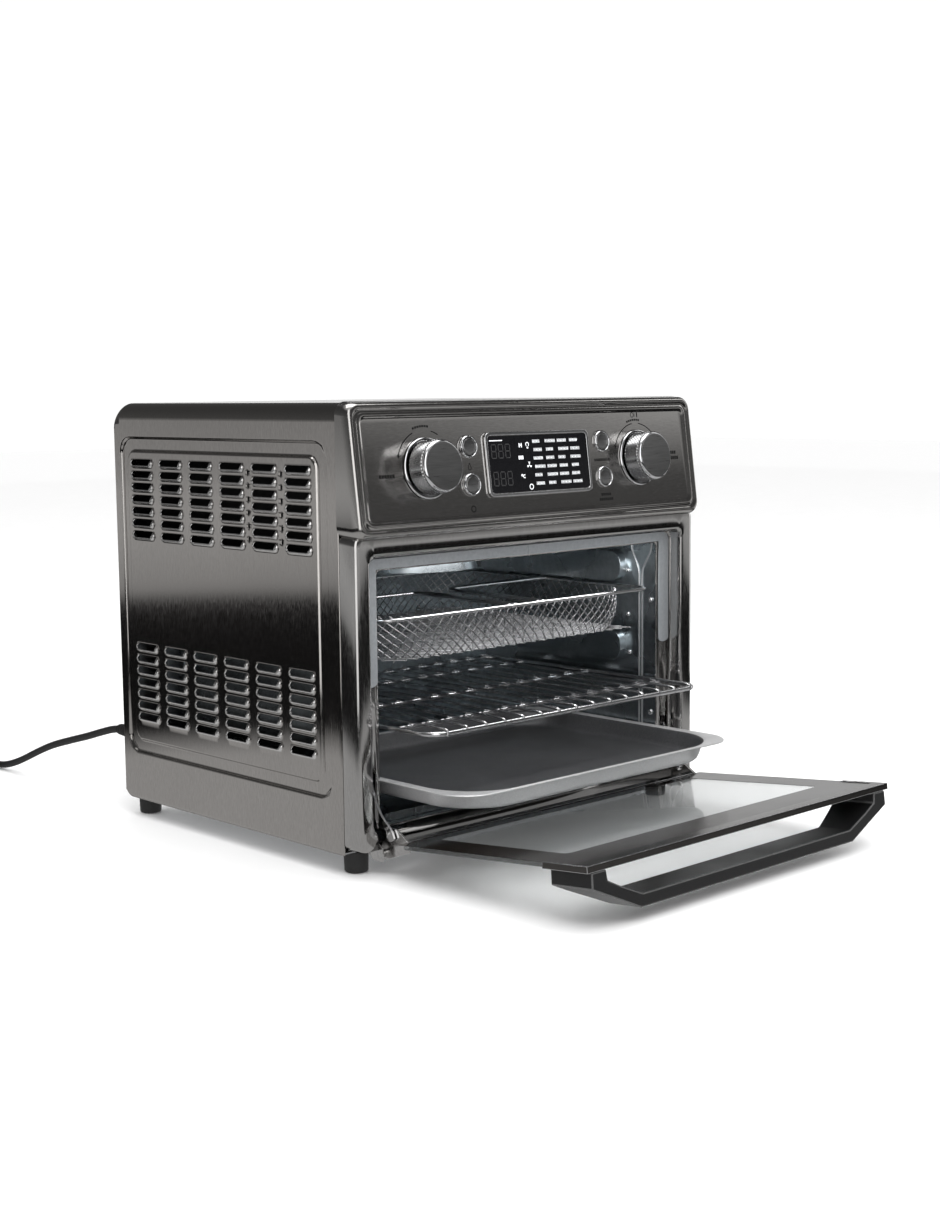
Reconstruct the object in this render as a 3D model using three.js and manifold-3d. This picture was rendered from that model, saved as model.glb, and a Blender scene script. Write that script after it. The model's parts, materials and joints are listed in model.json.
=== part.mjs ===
// Countertop air-fryer toaster oven with a drop-down glass door.
// Millimetres, +Z up, X to the right seen from the front, Y towards the back.
// Parts are placed from the cabinet side panels' front edge (y = 0) and the table top (z = 0).
// The finished group is shifted so that its origin is the centre of the footprint.

import * as THREE from 'three';
import { mergeVertices } from 'three/addons/utils/BufferGeometryUtils.js';
import Module from 'manifold-3d';

const wasm = await Module();
wasm.setup();

// ---------- driving dimensions ----------

const GAP = 0.3; // clearance left between separate pieces
const SHEET = 1.0; // sheet metal thickness

const CABINET = { halfWidth: 192.5, depth: 297.5, bottom: 16.4, top: 354.7, roofBend: 14, backBend: 12 };
const REAR_OPENING = { halfWidth: 184.5, top: 344 };
const LOUVRE = { columns: 6, rows: 7, firstY: 45.8, pitchY: 41.9, pitchZ: 10, width: 32, height: 6.4 };
const LOUVRE_TOPS = [304.8, 149.5]; // height of the uppermost row in each louvre field

const FRAME = { front: -18.7, back: -0.3, bottom: 20, top: 258, edgeRadius: 5 };
const RECESS = { halfWidth: 177, bottom: 33, top: 240, plane: -5.5 };
const MOUTH = { halfWidth: 159.5, bottom: 34, top: 229 };
const HINGE_SLOT = { inner: 164.4, outer: 174.6, top: 76 };

const FASCIA = { halfWidth: 194, bottom: 254.5, top: 355.5, corner: 10, tilt: THREE.MathUtils.degToRad(7.4) };
const FASCIA_ORIGIN = { y: -24.5, z: 258 }; // a point on the sloping face, where its own height is 0
const CONTROL_HEIGHT = 47; // up the slope to the knobs and the display
const KNOB = { x: 120.3, radius: 20.2, length: 20.3, ringRadius: 23 };
const BUTTON = { x: 75.7, heights: { upper: 61.9, lower: 32.8 }, capRadius: 6.6, ringRadius: 9.1 };
const DISPLAY = { halfWidth: 58.7, halfHeight: 25.2, border: 2.6, corner: 5 };

const CAVITY = { halfWidth: 160, front: -3.9, back: 274, floor: 34, roof: 236.5 };
const RAIL_BULGES = [{ low: 123, high: 149 }, { low: 193.5, high: 220 }];
const BULGE = { front: 30, back: 250, depth: 8 };
const LEDGE_TOPS = [67.9, 107.6, 189.1];
const LEDGE = { front: 16, back: 264, height: 3.6, depth: 9 };

const HEATER = { radius: 3.2, halfLength: 172 };
const HEATERS = [
  { name: 'upper_heater_front', y: 62, z: 227 },
  { name: 'upper_heater_rear', y: 218, z: 227 },
  { name: 'lower_heater_front', y: 80, z: 46 },
  { name: 'lower_heater_rear', y: 196, z: 46 },
];
const FAN = { y: 140, radius: 54, bladeCount: 8, bottom: 218, top: 231, shaftTop: 262 };
const FAN_GUARD = { radius: 63, bottom: 211.5 };

const FOOT = { x: 174, ys: [8, 287], radius: 9.5, height: 16.7 };

const DOOR_TILT = THREE.MathUtils.degToRad(5.7); // how far above level the open door rests
const DOOR_EDGE = { y: -31.5, z: 29 }; // the door's lower inside edge while open
const DOOR = { halfWidth: 175.8, length: 201.8, thickness: 5, notchHalfWidth: 165, notchLength: 17 };
const HINGE = { along: -15.57, down: 10 }; // the hinge line, in the door's own frame
const HINGE_LINE = { y: -17, z: 17.5 };
const ARM_PIVOT = { along: -4.42, down: -5.06, y: -26.6, z: 33.6 };

const PAN = { halfWidth: 157.3, front: -97, depth: 238, rim: 69.5, bottom: 53, lip: 4, troughCorner: 50 };
const RACK = { halfWidth: 155, front: -61, depth: 258, level: 108, wire: 4, barCount: 15 };
const BASKET = { halfWidth: 154, front: -8, depth: 250, rim: 191.5, bottom: 156, wall: 1.5 };

const CORD = { radius: 3.25, x: -175, z: 67.5 };
const GLAND_END = 331;
const COIL = { x: -214.4, y: 575, inner: 29.3, outer: 42.8, height: 13 };
const CORD_ROUTE = [
  [-175, 331.3, 67.5], [-175, 345, 65], [-175, 362, 60.4], [-175, 387, 53.2], [-175, 415, 45.8],
  [-175, 445, 37.4], [-175, 470, 28.6], [-175, 492, 19.8], [-175, 512, 12.2], [-175, 530, 6.8],
  [-175, 542, 4.4], [-175, 550, 3.7],
];
const PLUG = { x: -262, y: 613, length: 34, halfWidth: 12.5, height: 16, pinLength: 16 };

// ---------- materials ----------

const finish = (color, roughness, metalness) =>
  new THREE.MeshStandardMaterial({ color, roughness, metalness });
const BRUSHED = () => finish(0x7d7a78, 0.32, 1);
const POLISHED = () => finish(0xd5d5d5, 0.12, 1);
const DARK_STEEL = () => finish(0x55585c, 0.38, 1);
const GALVANISED = () => finish(0x9a9da0, 0.5, 1);
const NON_STICK = () => finish(0x3c3d40, 0.6, 0.2);
const BLACK_PLASTIC = () => finish(0x1c1c1e, 0.55, 0);
const RUBBER = () => finish(0x121213, 0.85, 0);
const DISPLAY_GLASS = () => finish(0x08080a, 0.06, 0);
const DOOR_GLASS = () =>
  new THREE.MeshStandardMaterial({ color: 0x3a3836, roughness: 0.05, transparent: true, opacity: 0.5 });
const HEATER_STEEL = () => finish(0x2f2f30, 0.5, 0.8);
const CIRCUIT_GREEN = () => finish(0x1f5a35, 0.6, 0);

// ---------- solid modelling helpers ----------

function signedVolume(position, index) {
  let volume = 0;
  const [a, b, c] = [new THREE.Vector3(), new THREE.Vector3(), new THREE.Vector3()];
  for (let i = 0; i < index.length; i += 3) {
    a.fromBufferAttribute(position, index[i]);
    b.fromBufferAttribute(position, index[i + 1]);
    c.fromBufferAttribute(position, index[i + 2]);
    volume += a.dot(b.cross(c));
  }
  return volume;
}

// A closed geometry as a solid whose faces point out.
function solid(geometry) {
  const bare = geometry.index ? geometry.toNonIndexed() : geometry.clone();
  bare.deleteAttribute('normal');
  bare.deleteAttribute('uv');
  const merged = mergeVertices(bare, 1e-4);
  const index = [];
  const source = merged.index.array;
  for (let i = 0; i < source.length; i += 3) {
    const [a, b, c] = [source[i], source[i + 1], source[i + 2]];
    if (a !== b && b !== c && c !== a) index.push(a, b, c);
  }
  if (signedVolume(merged.attributes.position, index) < 0) index.reverse();
  return new wasm.Manifold(new wasm.Mesh({
    numProp: 3,
    vertProperties: new Float32Array(merged.attributes.position.array),
    triVerts: new Uint32Array(index),
  }));
}

function toGeometry(manifold) {
  const mesh = manifold.getMesh();
  const geometry = new THREE.BufferGeometry();
  geometry.setAttribute('position', new THREE.BufferAttribute(new Float32Array(mesh.vertProperties), 3));
  geometry.setIndex(new THREE.BufferAttribute(new Uint32Array(mesh.triVerts), 1));
  geometry.computeVertexNormals();
  return geometry;
}

const join = (...shapes) => shapes.reduce((whole, next) => whole.add(next));
const cut = (whole, ...tools) => tools.reduce((left, tool) => left.subtract(tool), whole);

function block(x0, x1, y0, y1, z0, z1) {
  const geometry = new THREE.BoxGeometry(Math.abs(x1 - x0), y1 - y0, z1 - z0);
  return solid(geometry.translate((x0 + x1) / 2, (y0 + y1) / 2, (z0 + z1) / 2));
}

// Extrusions of an outline along each axis: XY along Z, XZ along Y and YZ along X.
function alongZ(shape, z0, z1, curveSegments = 6) {
  const geometry = new THREE.ExtrudeGeometry(shape, { depth: z1 - z0, bevelEnabled: false, curveSegments });
  return solid(geometry.translate(0, 0, z0));
}

function alongY(shape, y0, y1, curveSegments = 6) {
  const geometry = new THREE.ExtrudeGeometry(shape, { depth: y1 - y0, bevelEnabled: false, curveSegments });
  return solid(geometry.rotateX(Math.PI / 2).translate(0, y1, 0));
}

const YZ_TO_X = new THREE.Matrix4().set(0, 0, 1, 0, 1, 0, 0, 0, 0, 1, 0, 0, 0, 0, 0, 1);

function alongX(shape, x0, x1, curveSegments = 6) {
  const [low, high] = [Math.min(x0, x1), Math.max(x0, x1)];
  const settings = { depth: high - low, bevelEnabled: false, curveSegments };
  const geometry = new THREE.ExtrudeGeometry(shape, settings);
  return solid(geometry.applyMatrix4(YZ_TO_X).translate(low, 0, 0));
}

const polygon = (points) => new THREE.Shape(points.map(([a, b]) => new THREE.Vector2(a, b)));

// A rectangle with its own radius at each corner: low-low, high-low, high-high, low-high.
function roundedRectangle(a0, a1, b0, b1, radii) {
  const [r1, r2, r3, r4] = Array.isArray(radii) ? radii : [radii, radii, radii, radii];
  const quarter = Math.PI / 2;
  const shape = new THREE.Shape();
  shape.moveTo(a0 + r1, b0);
  shape.lineTo(a1 - r2, b0);
  if (r2) shape.absarc(a1 - r2, b0 + r2, r2, -quarter, 0);
  shape.lineTo(a1, b1 - r3);
  if (r3) shape.absarc(a1 - r3, b1 - r3, r3, 0, quarter);
  shape.lineTo(a0 + r4, b1);
  if (r4) shape.absarc(a0 + r4, b1 - r4, r4, quarter, 2 * quarter);
  shape.lineTo(a0, b0 + r1);
  if (r1) shape.absarc(a0 + r1, b0 + r1, r1, 2 * quarter, 3 * quarter);
  return shape;
}

// A straight-sided body between outlines of equal point counts, lowest first.
function loft(levels) {
  const positions = [];
  const count = levels[0].points.length;
  for (const { points, z } of levels) for (const p of points) positions.push(p.x, p.y, z);
  const index = [];
  for (let level = 0; level + 1 < levels.length; level++) {
    for (let i = 0; i < count; i++) {
      const [a, b] = [level * count + i, level * count + ((i + 1) % count)];
      index.push(a, b, a + count, b, b + count, a + count);
    }
  }
  const last = (levels.length - 1) * count;
  for (const [a, b, c] of THREE.ShapeUtils.triangulateShape(levels[0].points, [])) {
    index.push(a, c, b, last + a, last + b, last + c);
  }
  const geometry = new THREE.BufferGeometry();
  geometry.setAttribute('position', new THREE.Float32BufferAttribute(positions, 3));
  geometry.setIndex(index);
  return solid(geometry);
}

const outline = (halfWidth, front, back, corner) =>
  roundedRectangle(-halfWidth, halfWidth, front, back, corner).getPoints(5).slice(0, -1);

// A body turned about the Z axis from a [radius, height] profile.
function turned(profile, segments = 24) {
  const points = profile.map(([r, h]) => new THREE.Vector2(r, h));
  return solid(new THREE.LatheGeometry(points, segments).rotateX(Math.PI / 2));
}

function ring(inner, outer, z0, z1, segments = 24) {
  return turned([[inner, z0], [outer, z0], [outer, z1], [inner, z1], [inner, z0]], segments);
}

function rod(radius, z0, z1, segments = 16) {
  return turned([[0, z0], [radius, z0], [radius, z1], [0, z1]], segments);
}

// A round rod parallel to X through (y, z).
function crossRod(radius, x0, x1, y, z, segments = 16) {
  const geometry = new THREE.CylinderGeometry(radius, radius, Math.abs(x1 - x0), segments);
  return solid(geometry.rotateZ(Math.PI / 2).translate((x0 + x1) / 2, y, z));
}

// A round rod parallel to Y through (x, z).
function backRod(radius, y0, y1, x, z, endRadius = radius, segments = 16) {
  const geometry = new THREE.CylinderGeometry(endRadius, radius, y1 - y0, segments);
  return solid(geometry.translate(x, (y0 + y1) / 2, z));
}

function moved(shape, x, y, z, turnZ = 0) {
  const geometry = toGeometry(shape);
  if (turnZ) geometry.rotateZ(turnZ);
  return solid(geometry.translate(x, y, z));
}

const oven = new THREE.Group();
const fascia = new THREE.Group(); // local: X across, Y up the slope, Z out of the face
fascia.position.set(0, FASCIA_ORIGIN.y, FASCIA_ORIGIN.z);
fascia.rotation.x = Math.PI / 2 - FASCIA.tilt;
const door = new THREE.Group(); // local: X across, Y from hinge to handle, Z to the door's outside
door.position.set(0, DOOR_EDGE.y, DOOR_EDGE.z);
door.rotation.x = Math.PI - DOOR_TILT;
oven.add(fascia, door);

function part(name, shape, material, parent = oven) {
  const mesh = new THREE.Mesh(toGeometry(shape), material);
  mesh.name = name;
  parent.add(mesh);
  return mesh;
}

const sides = [['left', -1], ['right', 1]];

// ---------- cabinet ----------

function louvreCutters() {
  const reach = CABINET.halfWidth + 5;
  const cutters = [];
  for (const top of LOUVRE_TOPS) {
    for (let row = 0; row < LOUVRE.rows; row++) {
      const z = top - row * LOUVRE.pitchZ;
      for (let column = 0; column < LOUVRE.columns; column++) {
        const y = LOUVRE.firstY + column * LOUVRE.pitchY;
        cutters.push(block(-reach, reach, y - LOUVRE.width / 2, y + LOUVRE.width / 2,
          z - LOUVRE.height / 2, z + LOUVRE.height / 2));
      }
    }
  }
  return cutters;
}

function cabinetForm(inset, bottom, front) {
  const half = CABINET.halfWidth - inset;
  const top = CABINET.top - inset;
  const back = CABINET.depth - inset;
  const roof = CABINET.roofBend - inset;
  const bend = CABINET.backBend - inset;
  const lowBend = inset ? 0 : bend;
  const across = alongY(roundedRectangle(-half, half, bottom, top, [0, 0, roof, roof]), front, back);
  const lengthwise = alongX(roundedRectangle(front, back, bottom, top, [0, lowBend, bend, 0]), -half, half);
  return across.intersect(lengthwise);
}

function outerShell() {
  const body = cut(cabinetForm(0, CABINET.bottom, 0), cabinetForm(SHEET, CABINET.bottom - 10, -10));
  const rear = block(-REAR_OPENING.halfWidth, REAR_OPENING.halfWidth,
    CABINET.depth - 5, CABINET.depth + 5, CABINET.bottom - 10, REAR_OPENING.top);
  return cut(body, rear, ...louvreCutters());
}

// The panel's upper and lower edges are folded forward inside the cabinet's bends.
function rearPanel() {
  const inset = SHEET + GAP;
  const outside = CABINET.depth - inset;
  const half = REAR_OPENING.halfWidth + 4;
  const [low, top] = [CABINET.bottom + inset, CABINET.top - inset];
  const folded = (more, front) => {
    const bend = CABINET.backBend - inset - more;
    const profile = roundedRectangle(front, outside - more, low + more, top - more, [0, bend, bend, 0]);
    return alongX(profile, -half - more, half + more);
  };
  const face = alongY(roundedRectangle(-half, half, low, top, [0, 0, 11, 11]), 200, 320, 4);
  const slots = [];
  for (let i = 0; i < 9; i++) {
    const x = (i - 4) * 16;
    slots.push(block(x - 3, x + 3, outside - 3, outside + 3, 262, 306));
    slots.push(block(x - 3, x + 3, outside - 3, outside + 3, 60, 88));
  }
  const cordHole = backRod(5.4, outside - 3, outside + 3, CORD.x, CORD.z);
  return cut(folded(0, 285).intersect(face), folded(SHEET, 270), cordHole, ...slots);
}

function basePlate() {
  const half = CABINET.halfWidth - SHEET - GAP;
  const plate = block(-half, half, 0.5, 284.5, 17, 18.2);
  const slots = [];
  for (let i = 0; i < 8; i++) {
    const x = (i - 3.5) * 30;
    slots.push(block(x - 10, x + 10, 130, 136, 10, 30), block(x - 10, x + 10, 160, 166, 10, 30));
  }
  return cut(plate, ...slots);
}

function frontFrame() {
  const half = CABINET.halfWidth;
  const radius = FRAME.edgeRadius;
  const plan = roundedRectangle(-half, half, FRAME.front, FRAME.back, [radius, radius, 0, 0]);
  const body = alongZ(plan, FRAME.bottom, FRAME.top);
  const recess = block(
    -RECESS.halfWidth, RECESS.halfWidth, FRAME.front - 1, RECESS.plane, RECESS.bottom, RECESS.top);
  const mouth = block(-MOUTH.halfWidth, MOUTH.halfWidth, -30, 10, MOUTH.bottom, MOUTH.top);
  const hollow = block(
    -half + SHEET, half - SHEET, RECESS.plane + 1.2, 10, FRAME.bottom + SHEET, FRAME.top - SHEET);
  const channel = cut(
    block(-half + SHEET, half - SHEET, FRAME.front + SHEET, 10, FRAME.bottom + SHEET, FRAME.top - SHEET),
    block(
      -RECESS.halfWidth - SHEET, RECESS.halfWidth + SHEET, -30, 20,
      RECESS.bottom - SHEET, RECESS.top + SHEET),
  );
  const hingeSlots = sides.map(([, s]) =>
    block(s * HINGE_SLOT.inner, s * HINGE_SLOT.outer, -30, 10, 10, HINGE_SLOT.top));
  return cut(body, recess, mouth, hollow, channel, ...hingeSlots);
}

function foot() {
  const profile = [
    [0, 0], [8.4, 0], [9.2, 1.2], [FOOT.radius, 12], [FOOT.radius, FOOT.height], [0, FOOT.height],
  ];
  return turned(profile, 20);
}

part('outer_shell', outerShell(), BRUSHED());
part('rear_panel', rearPanel(), GALVANISED());
part('base_plate', basePlate(), GALVANISED());
part('front_frame', frontFrame(), POLISHED());
for (const [side, s] of sides) {
  FOOT.ys.forEach((y, i) => {
    const mesh = part(`foot_${i ? 'rear' : 'front'}_${side}`, foot(), RUBBER());
    mesh.position.set(s * FOOT.x, y, 0);
  });
}

// ---------- control fascia ----------

function fasciaForm(inset) {
  const slope = Math.tan(FASCIA.tilt);
  const faceY = (z) => FASCIA_ORIGIN.y + (z - FASCIA_ORIGIN.z) * slope + inset;
  const [low, high] = [FASCIA.bottom + inset, FASCIA.top - inset];
  const back = inset ? 10 : FRAME.back - 0.1;
  const profile = polygon([[faceY(low), low], [back, low], [back, high], [faceY(high), high]]);
  const half = FASCIA.halfWidth - inset;
  return alongX(profile, -half, half).intersect(
    alongY(roundedRectangle(-half, half, low, high, FASCIA.corner - inset), -60, 20));
}

// Holes are cut in the face's own frame, then the whole cover goes into that frame.
function controlFascia() {
  const body = cut(fasciaForm(0), fasciaForm(SHEET),
    block(
      -FASCIA.halfWidth + SHEET, FASCIA.halfWidth - SHEET, FRAME.front - 0.4, 20,
      FASCIA.bottom - 5, FRAME.top + 0.6));
  const toFace = toGeometry(body)
    .translate(0, -FASCIA_ORIGIN.y, -FASCIA_ORIGIN.z)
    .rotateX(FASCIA.tilt - Math.PI / 2);
  const holes = [alongZ(displayOutline(DISPLAY.border), -10, 10, 3)];
  for (const [, s] of sides) {
    holes.push(moved(rod(4.9, -10, 10), s * KNOB.x, CONTROL_HEIGHT, 0));
    for (const height of Object.values(BUTTON.heights)) {
      holes.push(moved(rod(7.9, -10, 10), s * BUTTON.x, height, 0));
    }
  }
  return cut(solid(toFace), ...holes);
}

function displayOutline(inset) {
  const [half, tall] = [DISPLAY.halfWidth - inset, DISPLAY.halfHeight - inset];
  const corner = DISPLAY.corner - inset / 2;
  return roundedRectangle(-half, half, CONTROL_HEIGHT - tall, CONTROL_HEIGHT + tall, corner);
}

function displayBezel() {
  return cut(alongZ(displayOutline(0), GAP, 2.4, 3), alongZ(displayOutline(DISPLAY.border), -5, 5, 3));
}

function controlBoard() {
  const [low, high] = [CONTROL_HEIGHT - 34, CONTROL_HEIGHT + 34];
  const board = block(-150, 150, low, high, -16, -14.4);
  const module = block(-55, 55, CONTROL_HEIGHT - 21, CONTROL_HEIGHT + 21, -14.5, -3);
  const chip = block(60, 74, CONTROL_HEIGHT - 8, CONTROL_HEIGHT + 8, -18, -15.9);
  return join(board, module, chip);
}

const knobProfile = [
  [0, 15], [3.3, 15], [3.3, 2.4], [KNOB.radius - 0.6, 2.4], [KNOB.radius, 3.2],
  [KNOB.radius, KNOB.length - 2],
  [KNOB.radius - 1.6, KNOB.length], [KNOB.radius - 2.4, KNOB.length], [KNOB.radius - 2.4, KNOB.length - 0.5],
  [0, KNOB.length - 0.5],
];
const knobRingProfile = [
  [5.2, GAP], [KNOB.ringRadius, GAP], [KNOB.ringRadius, 1.4], [KNOB.ringRadius - 0.6, 2],
  [KNOB.ringRadius - 1.6, 2], [KNOB.ringRadius - 1.6, 1], [5.2, 1], [5.2, GAP],
];
const buttonRingProfile = [
  [7, -3.5], [7.5, -3.5], [7.5, GAP], [BUTTON.ringRadius, GAP], [BUTTON.ringRadius, 1],
  [BUTTON.ringRadius - 1, 2.6], [7, 2.2], [7, -3.5],
];
const buttonProfile = [
  [0, -6], [4, -6], [4, -4], [BUTTON.capRadius, -4], [BUTTON.capRadius, 2.6], [6, 3.2], [0, 3.2],
];

part('control_fascia', controlFascia(), BRUSHED(), fascia);
part('display_bezel', displayBezel(), POLISHED(), fascia);
part('display_window', alongZ(displayOutline(DISPLAY.border + GAP), -1.5, 1.7, 3), DISPLAY_GLASS(), fascia);
part('control_board', controlBoard(), CIRCUIT_GREEN(), fascia);
for (const [side, s] of sides) {
  const place = (mesh, height = CONTROL_HEIGHT, x = KNOB.x) => mesh.position.set(s * x, height, 0);
  const encoderBody = join(block(-6.5, 6.5, -6.5, 6.5, -14.1, -7), rod(4.5, -7.1, 1.4));
  place(part(`encoder_${side}`, cut(encoderBody, rod(3.3, -12, 5)), GALVANISED(), fascia));
  place(part(`encoder_shaft_${side}`, rod(3, -11.5, 14), GALVANISED(), fascia));
  place(part(`knob_ring_${side}`, turned(knobRingProfile, 24), POLISHED(), fascia));
  place(part(`knob_${side}`, turned(knobProfile, 28), POLISHED(), fascia));
  for (const [level, height] of Object.entries(BUTTON.heights)) {
    const ring = part(`button_ring_${level}_${side}`, turned(buttonRingProfile, 16), POLISHED(), fascia);
    place(ring, height, BUTTON.x);
    const cap = part(`button_${level}_${side}`, turned(buttonProfile, 16), DARK_STEEL(), fascia);
    place(cap, height, BUTTON.x);
  }
}

// ---------- cooking cavity ----------

// One side wall, inner face towards the food, with two pressed rail bulges and three tray ledges.
function cavityWall(s) {
  const inner = CAVITY.halfWidth;
  const sheet = block(s * inner, s * (inner + SHEET), CAVITY.front, CAVITY.back, CAVITY.floor, CAVITY.roof);
  const bulges = RAIL_BULGES.map(({ low, high }) =>
    alongX(
      roundedRectangle(BULGE.front, BULGE.back, low, high, 11),
      s * (inner - BULGE.depth), s * (inner + 0.5), 2));
  const dents = RAIL_BULGES.map(({ low, high }) =>
    alongX(roundedRectangle(BULGE.front + SHEET, BULGE.back - SHEET, low + SHEET, high - SHEET, 10),
      s * (inner - BULGE.depth + SHEET), s * (inner + 5), 2));
  const ledges = LEDGE_TOPS.map((top) =>
    block(s * (inner - LEDGE.depth), s * (inner + 0.5), LEDGE.front, LEDGE.back, top - LEDGE.height, top));
  const heaterHoles = HEATERS.map(({ y, z }) =>
    crossRod(HEATER.radius + 0.8, s * (inner - 5), s * (inner + 5), y, z, 10));
  return cut(join(sheet, ...bulges, ...ledges), ...dents, ...heaterHoles);
}

function cavityRoof() {
  const half = CAVITY.halfWidth - GAP;
  const plate = block(-half, half, CAVITY.front, CAVITY.back - GAP, CAVITY.roof - SHEET, CAVITY.roof);
  return cut(plate, moved(rod(8, CAVITY.roof - 5, CAVITY.roof + 5), 0, FAN.y, 0));
}

function cavityFloor() {
  const half = CAVITY.halfWidth - GAP;
  return block(-half, half, CAVITY.front, CAVITY.back - GAP, CAVITY.floor, CAVITY.floor + SHEET);
}

function cavityBackWall() {
  return block(
    -CAVITY.halfWidth - SHEET, CAVITY.halfWidth + SHEET, CAVITY.back + GAP, CAVITY.back + GAP + SHEET,
    CAVITY.floor, CAVITY.roof);
}

function crumbTray() {
  const [half, front, back, floor] = [150, 1, 262, CAVITY.floor + SHEET + GAP];
  const body = block(-half, half, front, back, floor, floor + 4);
  const hollow = block(-half + SHEET, half - SHEET, front + SHEET, back - SHEET, floor + SHEET, floor + 10);
  return join(cut(body, hollow), block(-half, half, front, front + SHEET, floor, floor + 6));
}

part('cavity_left_wall', cavityWall(-1), DARK_STEEL());
part('cavity_right_wall', cavityWall(1), DARK_STEEL());
part('cavity_roof', cavityRoof(), DARK_STEEL());
part('cavity_floor', cavityFloor(), DARK_STEEL());
part('cavity_back_wall', cavityBackWall(), DARK_STEEL());
part('crumb_tray', crumbTray(), DARK_STEEL());
for (const { name, y, z } of HEATERS) {
  part(name, crossRod(HEATER.radius, -HEATER.halfLength, HEATER.halfLength, y, z, 12), HEATER_STEEL());
}

// ---------- convection fan, above the cavity ----------

function fanRotor() {
  const blade = block(8, FAN.radius - 1, -0.6, 0.6, FAN.bottom, FAN.top - 0.5);
  const blades = [];
  for (let i = 0; i < FAN.bladeCount; i++) {
    blades.push(moved(blade, 0, 0, 0, (i * 2 * Math.PI) / FAN.bladeCount));
  }
  const hub = rod(9, FAN.bottom, FAN.top);
  const disc = rod(FAN.radius, FAN.top - 1, FAN.top, 24);
  const shaft = rod(2.5, FAN.top - 1, FAN.shaftTop);
  return join(hub, disc, shaft, ...blades);
}

function fanGuard() {
  const [radius, low] = [FAN_GUARD.radius, FAN_GUARD.bottom];
  const skirt = ring(radius - 1, radius, low, CAVITY.roof - SHEET - GAP, 24);
  const slots = [];
  for (let i = 0; i < 10; i++) {
    slots.push(moved(block(16, 52, -4.5, 4.5, low - 5, low + 5), 0, 0, 0, (i * Math.PI) / 5));
  }
  return join(skirt, cut(rod(radius - 0.5, low, low + SHEET, 24), ...slots));
}

function fanMotor() {
  const body = join(rod(30, 246, 286, 24), rod(9, 244.9, 246.5));
  return cut(body, rod(2.9, 240, 266));
}

function motorBracket() {
  const [low, top] = [CAVITY.roof + GAP, 244.6];
  const deck = block(-48, 48, -32, 32, top - 1.4, top);
  const legs = sides.map(([, s]) => block(s * 46.6, s * 48, -32, 32, low, top));
  const feet = sides.map(([, s]) => block(s * 46.6, s * 60, -32, 32, low, low + 1.4));
  return cut(join(deck, ...legs, ...feet), rod(12, 230, 260));
}

function powerBoard() {
  const board = block(-160, -62, 190, 268, 300, 301.6);
  const transformer = block(-150, -122, 205, 240, 301, 326);
  const relay = block(-105, -85, 210, 226, 301, 316);
  const capacitor = moved(rod(6, 301, 322), -90, 250, 0);
  return join(board, transformer, relay, capacitor);
}

for (const [name, shape, material] of [
  ['fan_rotor', fanRotor(), GALVANISED()],
  ['fan_guard', fanGuard(), DARK_STEEL()],
  ['fan_motor', fanMotor(), GALVANISED()],
  ['motor_bracket', motorBracket(), GALVANISED()],
]) {
  part(name, shape, material).position.y = FAN.y;
}
part('power_board', powerBoard(), CIRCUIT_GREEN());

// ---------- hinges ----------

// A fixed bracket on the base whose stub pin carries one corner of the door.
function hingeMount(s) {
  const earShape = polygon([
    [-22.5, 12.3], [-11.5, 12.3], [-4, 18.7], [14, 18.7], [14, 31], [-8, 31], [-22.5, 22.7],
  ]);
  const ear = alongX(earShape,
    s * 172.3, s * 173.8);
  const toe = block(s * 173.5, s * 186, 2, 14, 18.7, 19.9);
  return join(ear, toe, crossRod(2.4, s * 165.6, s * 172.5, HINGE_LINE.y, HINGE_LINE.z));
}

// The door's own hinge plate, in the door's frame.
function doorHinge(s) {
  const plateShape = polygon([[-20.2, 8], [-9, -9], [0, -9], [13, 0.4], [13, 8], [-11, 14.6]]);
  const plate = alongX(plateShape, s * 165.3, s * 167.4);
  const lug = crossRod(5.4, s * 165.3, s * 167.4, HINGE.along, HINGE.down);
  const pinHole = crossRod(2.5, s * 160, s * 170, HINGE.along, HINGE.down);
  const rivetHole = crossRod(2.12, s * 160, s * 170, ARM_PIVOT.along, ARM_PIVOT.down);
  return cut(join(plate, lug), pinHole, rivetHole);
}

// The curved arm that runs through the frame's slot, as it stands with the door open.
function doorArm(s) {
  const blade = new THREE.Shape();
  blade.moveTo(-31.5, 31);
  blade.quadraticCurveTo(-29, 38.5, -21, 43);
  blade.quadraticCurveTo(-13, 48.5, -6, 70);
  blade.lineTo(-1.5, 67);
  blade.quadraticCurveTo(-7, 43, -20, 31);
  blade.quadraticCurveTo(-27, 25, -31.5, 31);
  const rivet = crossRod(2, s * 165.8, s * 169, ARM_PIVOT.y, ARM_PIVOT.z, 12);
  return join(alongX(blade, s * 168.4, s * 170.2, 5), rivet);
}

for (const [side, s] of sides) {
  part(`hinge_mount_${side}`, hingeMount(s), GALVANISED());
  part(`door_hinge_${side}`, doorHinge(s), GALVANISED(), door);
  part(`door_arm_${side}`, doorArm(s), POLISHED());
}

// ---------- door ----------

function doorGlass() {
  const [wide, narrow] = [DOOR.halfWidth - 0.6, DOOR.notchHalfWidth - 0.4];
  const pane = polygon([
    [-narrow, 1.8], [narrow, 1.8], [narrow, DOOR.notchLength], [wide, DOOR.notchLength],
    [wide, DOOR.length - 1.2], [-wide, DOOR.length - 1.2],
    [-wide, DOOR.notchLength], [-narrow, DOOR.notchLength],
  ]);
  return alongZ(pane, 1, 4);
}

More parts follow.
